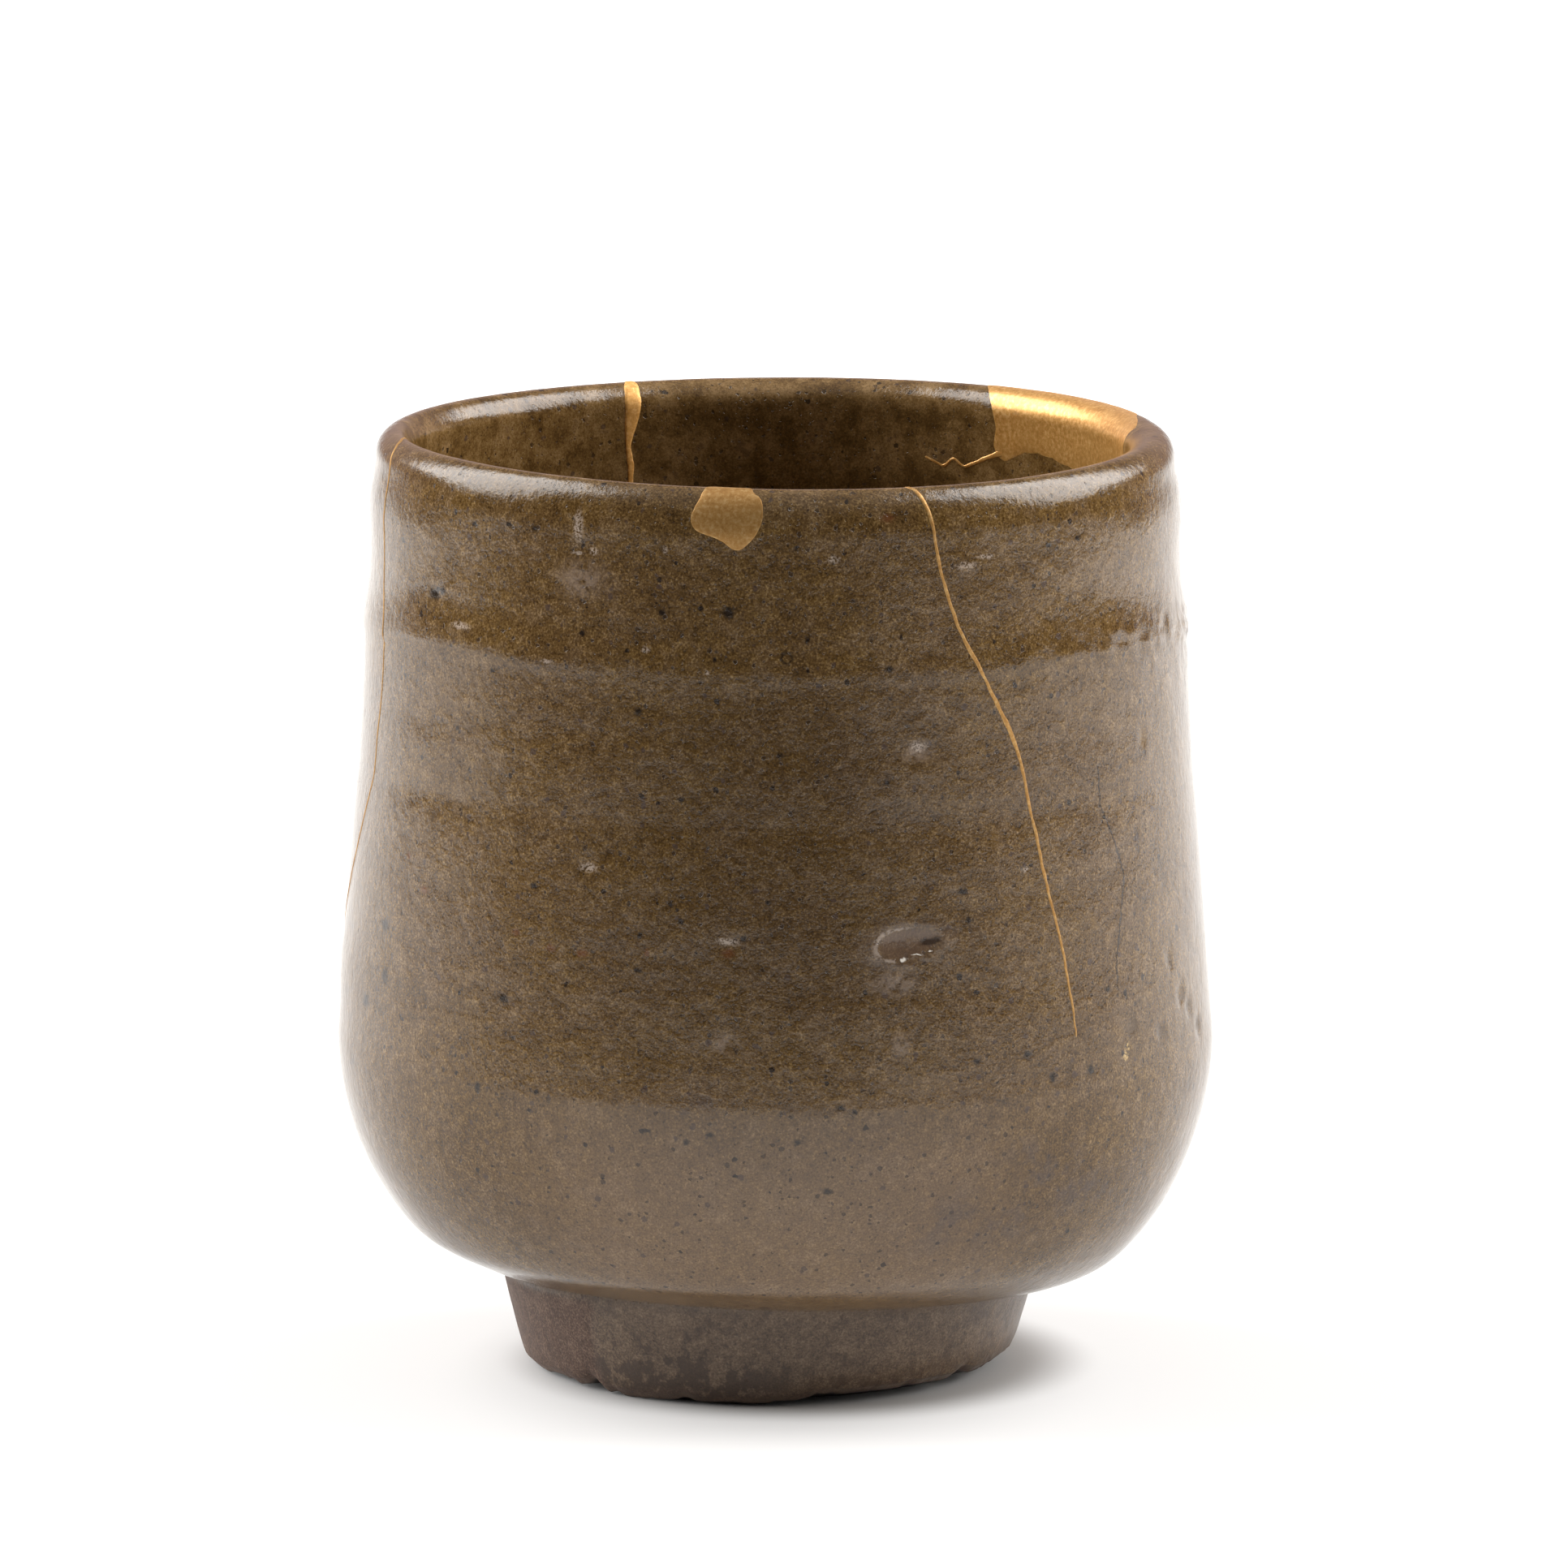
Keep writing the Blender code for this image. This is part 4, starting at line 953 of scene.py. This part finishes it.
# %% Bare clay as an attribute
def bare_clay(angle, run):
    """1 on the underside and on the left of the foot up to an uneven edge, fading through a worn rim."""
    under = smooth_step(FOOT_BOTTOM_RUN - 0.5 * MM, FOOT_BOTTOM_RUN, run)
    wander = clay_waves(angle, run, 60, 1.2 * MM, 91)
    left = smooth_step(-39, -43, angle + 1.6 * wander)
    left = left * smooth_step(-150, -140, angle + 4 * wander)
    below = smooth_step(0.3 * MM, 1.0 * MM, run - FOOT_TOP_RUN + 0.3 * MM * wander)
    edge = smooth_step(-1.5 * MM, -0.4 * MM, run - FOOT_BOTTOM_RUN + 0.5 * MM * wander)
    return np.clip(under + left * below + edge * (0.5 + 0.5 * wander), 0, 1)


def worn_edge(angle, run):
    """A thin pale line where the foot's lower edge rubbed: a bell curve broken up by waves."""
    near = bell(run - FOOT_BOTTOM_RUN + 0.3 * MM, 0.5 * MM)
    return near * (0.5 + 0.5 * clay_waves(angle, run, 110, 1 * MM, 92))


for name, worked_out in (("bare", bare_clay), ("worn", worn_edge)):
    values = grid_points(worked_out(angle_grid, run_grid)).astype(np.float32)
    body.data.attributes.new(name, "FLOAT", "POINT").data.foreach_set("value", values)
print("attributes on the body:", [attribute.name for attribute in body.data.attributes])

# %% The foot's own look, and painted shade under it and in its crease
bare, worn = (glaze.node("Attribute", {"attribute_name": name}).also(2) for name in ("bare", "worn"))
foot_top, foot_bottom = FOOT_TOP_RUN / MM, FOOT_BOTTOM_RUN / MM
on_foot = glaze.step(run_mm, foot_top - 0.8, foot_top + 0.4)
# Painted shade: the underside and the band that meets the table are painted nearly black
underside_painted_shade = glaze.step(run_mm, foot_bottom - 0.4, foot_bottom + 0.2)
# Painted shade: the crease where the haunch meets the foot is painted a darker brown
crease = glaze.step(run_mm, foot_top - 2.2, foot_top - 0.6) * glaze.step(run_mm, foot_top + 1.0, foot_top)
patchy = glaze.noise(here, 520.0, 3.0, 0.65)
burnt = glaze.step(run_mm + (patchy - 0.5) * 22.0, foot_bottom - 4.2, foot_bottom - 2.4)
burnt = (burnt * glaze.step(across_mm, 9.0, -5.0)).most(glaze.step(patchy, 0.53, 0.62) * 0.6 * on_foot)
foot_glaze = glaze.shaded(blotch, THREE_STOPS, (54, 40, 28), (86, 68, 52), (120, 100, 80))
clay = glaze.shaded(blotch, THREE_STOPS, (52, 36, 26), (80, 59, 47), (118, 96, 80))

# %% The finished glaze: each layer's mask, strength and colour
IRON_BLACK = (26, 19, 15)
iron = (dark_specks * 0.92 + ring_mark * 0.8 + hairline * 0.75).held()
wash = glaze.layered(
    wash,
    (smoke, 0.55, (66, 56, 54)), (haze, 0.40, (146, 130, 118)), (pit_haze, 0.2, (124, 110, 102)),
    (pit_floor, 0.5, (94, 74, 60)), (pit_pale, 0.6, (166, 152, 140)), (pit_slit, 0.8, (38, 27, 20)),
    (pit_glint, 0.9, (232, 226, 216)), (ochre, 0.5, (104, 78, 36)), (rust_spots, 0.6, (96, 56, 32)),
    (pale_marks_and_glints, 0.6, (186, 172, 160)), (open_pits, 0.6, (72, 56, 38)), (iron, 1.0, IRON_BLACK),
    (flecks, 0.8, (206, 176, 118)), (on_foot, 0.85, foot_glaze), (crease, 0.4, (74, 57, 37)),
    (burnt, 0.8, (54, 37, 25)), (dark_specks, on_foot, IRON_BLACK), (bare, 1.0, clay),
    (underside_painted_shade, 0.9, (30, 21, 16)), (worn, 0.45, (140, 120, 104)))
gloss = 0.09 + (mottle - 0.5) * 0.10 + on_foot * 0.22 + bare * 0.3 + pit_floor * 0.12 + haze * 0.06
height = mottle * 0.85 + drifts * 0.7 + grain * 0.26 - pits * 0.5 - small_specks * 0.5
body.data.materials.append(glaze.finish(
    Base_Color=wash, Roughness=gloss.held(), Normal=glaze.bump(0.065 * MM, height), IOR=1.52))
print("glaze nodes:", len(glaze.tree.nodes))

# %% [markdown]
# ## Gold over lacquer
# Gold powder is sprinkled on tacky lacquer and burnished. It is a metal, but dusty: the grains lie at all
# angles, so it shines in patches, and the warm brown lacquer shows between them.

# %% Gold finish
GOLD_STOPS, GOLD_TONES = (0.32, 0.5, 0.68), ((186, 134, 68), (208, 156, 86), (230, 188, 124))
PATCH_TONE, LACQUER_TONE = (196, 150, 84), (128, 84, 42)
GOLD_GRAINS = ((2600.0, 0.7), (500.0, 0.6), (160.0, 0.6))
# Name, metal, roughness, lightness of its tones, coat, and the pieces that wear it; the lightness is painted
# light, set per piece for how it is lit
GOLDS = (("bright_gold", 0.58, 0.30, 1.06, 0.3, (rim_gold,)),
         ("satin_gold", 0.58, 0.42, 0.80, 0.0, (chip_gold,)),
         ("seam_gold", 0.36, 0.44, 1.12, 0.0, (back_seam,)),
         ("dull_gold", 0.55, 0.38, 0.84, 0.0, (front_seam, left_seam)))


def gold_finish(name, metal, roughness, light, coat):
    """Gold powder: dusty grains over lacquer; light scales its tones as painted light, metal and roughness set
    its shine.
    """
    gold = Paint(name)
    place = gold.place()
    dust, brushed, patches = (gold.noise(place, scale, 3.0, rough) for scale, rough in GOLD_GRAINS)
    lacquer = gold.step(brushed, 0.34, 0.24)
    shine = gold.shaded(dust, GOLD_STOPS, *(np.multiply(light, GOLD_TONES)))
    shine = gold.layered(shine, (lacquer, 0.6, LACQUER_TONE),
                         (gold.step(patches, 0.50, 0.64), 0.25, np.multiply(light, PATCH_TONE)))
    bumps = gold.bump(0.022 * MM, dust * 0.30 + brushed * 0.8 + patches * 1.4)
    return gold.finish(Base_Color=shine, Metallic=metal - lacquer * 0.4, Normal=bumps, Coat_Weight=coat,
                       Roughness=roughness + dust * 0.14 + lacquer * 0.15, Coat_Roughness=0.22)


for *recipe, pieces in GOLDS:
    finish = gold_finish(*recipe)
    for piece in pieces:
        piece.data.materials.append(finish)
    print(finish.name, "on", [piece.name for piece in pieces])

# %% [markdown]
# # The little studio
# The cup stands on a wide white table, which glows a little so that it stays white in the picture. Two soft
# boxes, one at each side and behind, light the cup from above, and two warm lights, which the glaze doesn't
# mirror, fill its sides. What the glaze does mirror in the middle of the front is the dark room before the
# table: a dark card stands for it, hidden from the camera and casting no shadow.

# %% Table, its glow fading under the cup into a painted shadow
def stage_sheet(name, corners, finish):
    """One flat face of stage in this finish."""
    mesh = bpy.data.meshes.new(name)
    mesh.from_pydata(corners, [], [tuple(range(len(corners)))])
    mesh.materials.append(finish)
    sheet = placed(name, mesh)
    return sheet


TABLE_REACH, TABLE_COLOUR, DULL = 6.0, (0.5, 0.5, 0.5, 1), 0.9
# Painted light: the glow fades away under the cup into a painted contact shadow and is a little stronger to
# the left
SHADOW_MIDDLE, SHADOW_EDGE = (2.0 * MM, -1.0 * MM, 0.0), (20.5 * MM, 28.5 * MM)
TABLE_GLOW, FAR_GLOW, LEFT_GLOW = 0.42, 0.55, 0.03
FAR_GLOW_EDGE, LEFT_GLOW_EDGE = (0.15, 0.7), (-8 * MM, -34 * MM)
lit = Paint("lit_table")
on_table = lit.place()
near = lit.length(lit.vector("SUBTRACT", on_table, SHADOW_MIDDLE))
to_left = lit.step(lit.along(on_table, 0), *LEFT_GLOW_EDGE)
glow = lit.step(near, *SHADOW_EDGE) * TABLE_GLOW + lit.step(near, *FAR_GLOW_EDGE) * FAR_GLOW
glow = glow + to_left * LEFT_GLOW
lit.finish(Base_Color=TABLE_COLOUR, Roughness=DULL, Emission_Strength=1.0,
           Emission_Color=lit.node("CombineXYZ", {}, (glow, glow, glow)))
table_corners = [(x * TABLE_REACH, y * TABLE_REACH, 0) for x, y in ((-1, -1), (1, -1), (1, 1), (-1, 1))]
table = stage_sheet("white_table", table_corners, lit.block)
print("table:", table.name, "half width:", TABLE_REACH)

# %% Dark card, its near edge fading
CARD_NEAR, CARD_SIDE, CARD_FADE, CARD_FAR = 0.38, 0.80, 0.24, 5.0
CARD_LEFT, CARD_RIGHT, CARD_BACK, CARD_TURN_FADE = -80.0, 26.0, 128, 6.0
CARD_FURTHER_RIGHT, CARD_RIGHT_EDGE = 0.4, (50, 80)
CARD_COLOUR, CARD_HEIGHT = (0.02, 0.018, 0.016, 1), 2 * MM
sweep = np.radians(np.linspace(-CARD_BACK, CARD_BACK, 65))
turn = np.concatenate([sweep, sweep[::-1]])
reach = np.repeat([CARD_NEAR, CARD_FAR], len(sweep))
card_corners = np.stack([reach * np.sin(turn), -reach * np.cos(turn), np.full(len(turn), CARD_HEIGHT)], axis=1)
shade = Paint("dark_card_fading")
on_card = shade.place()
card_x, card_y = shade.along(on_card, 0), shade.along(on_card, 1)
card_turn = card_x.math("ARCTAN2", card_x, card_y * -1.0) * math.degrees(1)
in_front = shade.step(card_turn, CARD_LEFT - CARD_TURN_FADE, CARD_LEFT + CARD_TURN_FADE)
in_front = in_front * shade.step(card_turn, CARD_RIGHT + CARD_TURN_FADE, CARD_RIGHT - CARD_TURN_FADE)
far_out = shade.length(on_card) + in_front * (CARD_SIDE - CARD_NEAR)
far_out = far_out - shade.step(card_turn, *CARD_RIGHT_EDGE) * CARD_FURTHER_RIGHT
shade.finish(Base_Color=CARD_COLOUR, Roughness=DULL, Specular_IOR_Level=0.1,
             Alpha=shade.step(far_out, CARD_SIDE, CARD_SIDE + CARD_FADE))
card = stage_sheet("dark_card", card_corners.tolist(), shade.block)
card.visible_camera = card.visible_shadow = False
print("card:", card.name, "starts at", CARD_NEAR, "in front and", CARD_SIDE, "at the sides")

# %% Lights
LOOK_AT = (0.0, 0.0, 0.05)
WARM, SOFT = (1.0, 0.965, 0.925), (1.0, 0.975, 0.95)
# Name, place, width and height, radiance, colour, and whether the glaze mirrors it
LAMPS = (("fill_left", (-1.05, 0.05, 0.33), (0.9, 0.6), 3.8, WARM, False),
         ("fill_right", (1.05, 0.05, 0.33), (0.9, 0.6), 4.2, WARM, False),
         ("soft_box_left", (-0.80, 0.25, 0.80), (0.9, 0.9), 6.4, SOFT, True),
         ("soft_box_right", (0.80, 0.25, 0.80), (0.9, 0.9), 6.6, SOFT, True))


def area_lamp(name, place, size, radiance, colour, mirrored):
    """Rectangular light whose power is radiance times area times pi, turned to face the cup."""
    light = bpy.data.lights.new(name, "AREA")
    light.shape, light.size, light.size_y = "RECTANGLE", *size
    light.energy = radiance * size[0] * size[1] * math.pi
    light.color = colour
    lamp = placed(name, light)
    away = np.array(place) - np.array(LOOK_AT)
    tilt = math.acos(away[2] / np.linalg.norm(away))
    lamp.location, lamp.rotation_euler = place, (tilt, 0.0, math.atan2(away[1], away[0]) + math.pi / 2)
    lamp.visible_camera, lamp.visible_glossy = False, mirrored


for lamp in LAMPS:
    area_lamp(*lamp)
print("lights:", [name for name, *_ in LAMPS])

# %% The room around, as a direction's height and depth
ROOM_LIGHT, CEILING_LIGHT, BACKDROP_LIGHT = 0.03, 0.42, 0.48
CEILING_EDGE, BACKDROP_EDGE, BACKDROP_TOP = (0.45, 0.98), (0.34, 0.72), (0.62, 0.38)
RIGHT_LOSS, RIGHT_EDGE = 0.15, (-0.1, 0.4)
GREEN_LOSS, BLUE_LOSS = 0.27, 0.31
room = Paint("room", world=True)
direction = room.node("TexCoord")
to_right, to_back, upward = (room.along(direction, axis) for axis in range(3))
ceiling = room.step(upward, *CEILING_EDGE) * CEILING_LIGHT
backdrop = room.step(to_back, *BACKDROP_EDGE) * room.step(upward, *BACKDROP_TOP) * BACKDROP_LIGHT
backdrop = backdrop * (1 - room.step(to_right, *RIGHT_EDGE) * RIGHT_LOSS)
brightness = ceiling + backdrop + ROOM_LIGHT
tinted = (brightness, brightness - backdrop * GREEN_LOSS, brightness - backdrop * BLUE_LOSS)
glowing = room.node("CombineXYZ", {}, tinted)
seen_directly = room.node("LightPath")
bpy.context.scene.world = room.finish(Color=room.blend(seen_directly, glowing, (1, 1, 1, 1)))
print("room nodes:", len(room.tree.nodes))

# %% Camera
CAMERA_PLACE = (0.78 * MM, -1.2, 258.8 * MM)
CAMERA_DOWN, CAMERA_LENS, CAMERA_SENSOR, CAMERA_SIGHT = 9.7, 304.4, 36.0, 50.0
view = bpy.data.cameras.new("camera")
view.lens, view.sensor_width, view.clip_end = CAMERA_LENS, CAMERA_SENSOR, CAMERA_SIGHT
camera = placed("camera", view)
camera.location = CAMERA_PLACE
camera.rotation_euler = (math.radians(90 - CAMERA_DOWN), 0.0, 0.0)
bpy.context.scene.camera = camera
bpy.context.scene.view_settings.view_transform = "Standard"
print("camera at", CAMERA_PLACE, "looking down by", CAMERA_DOWN)
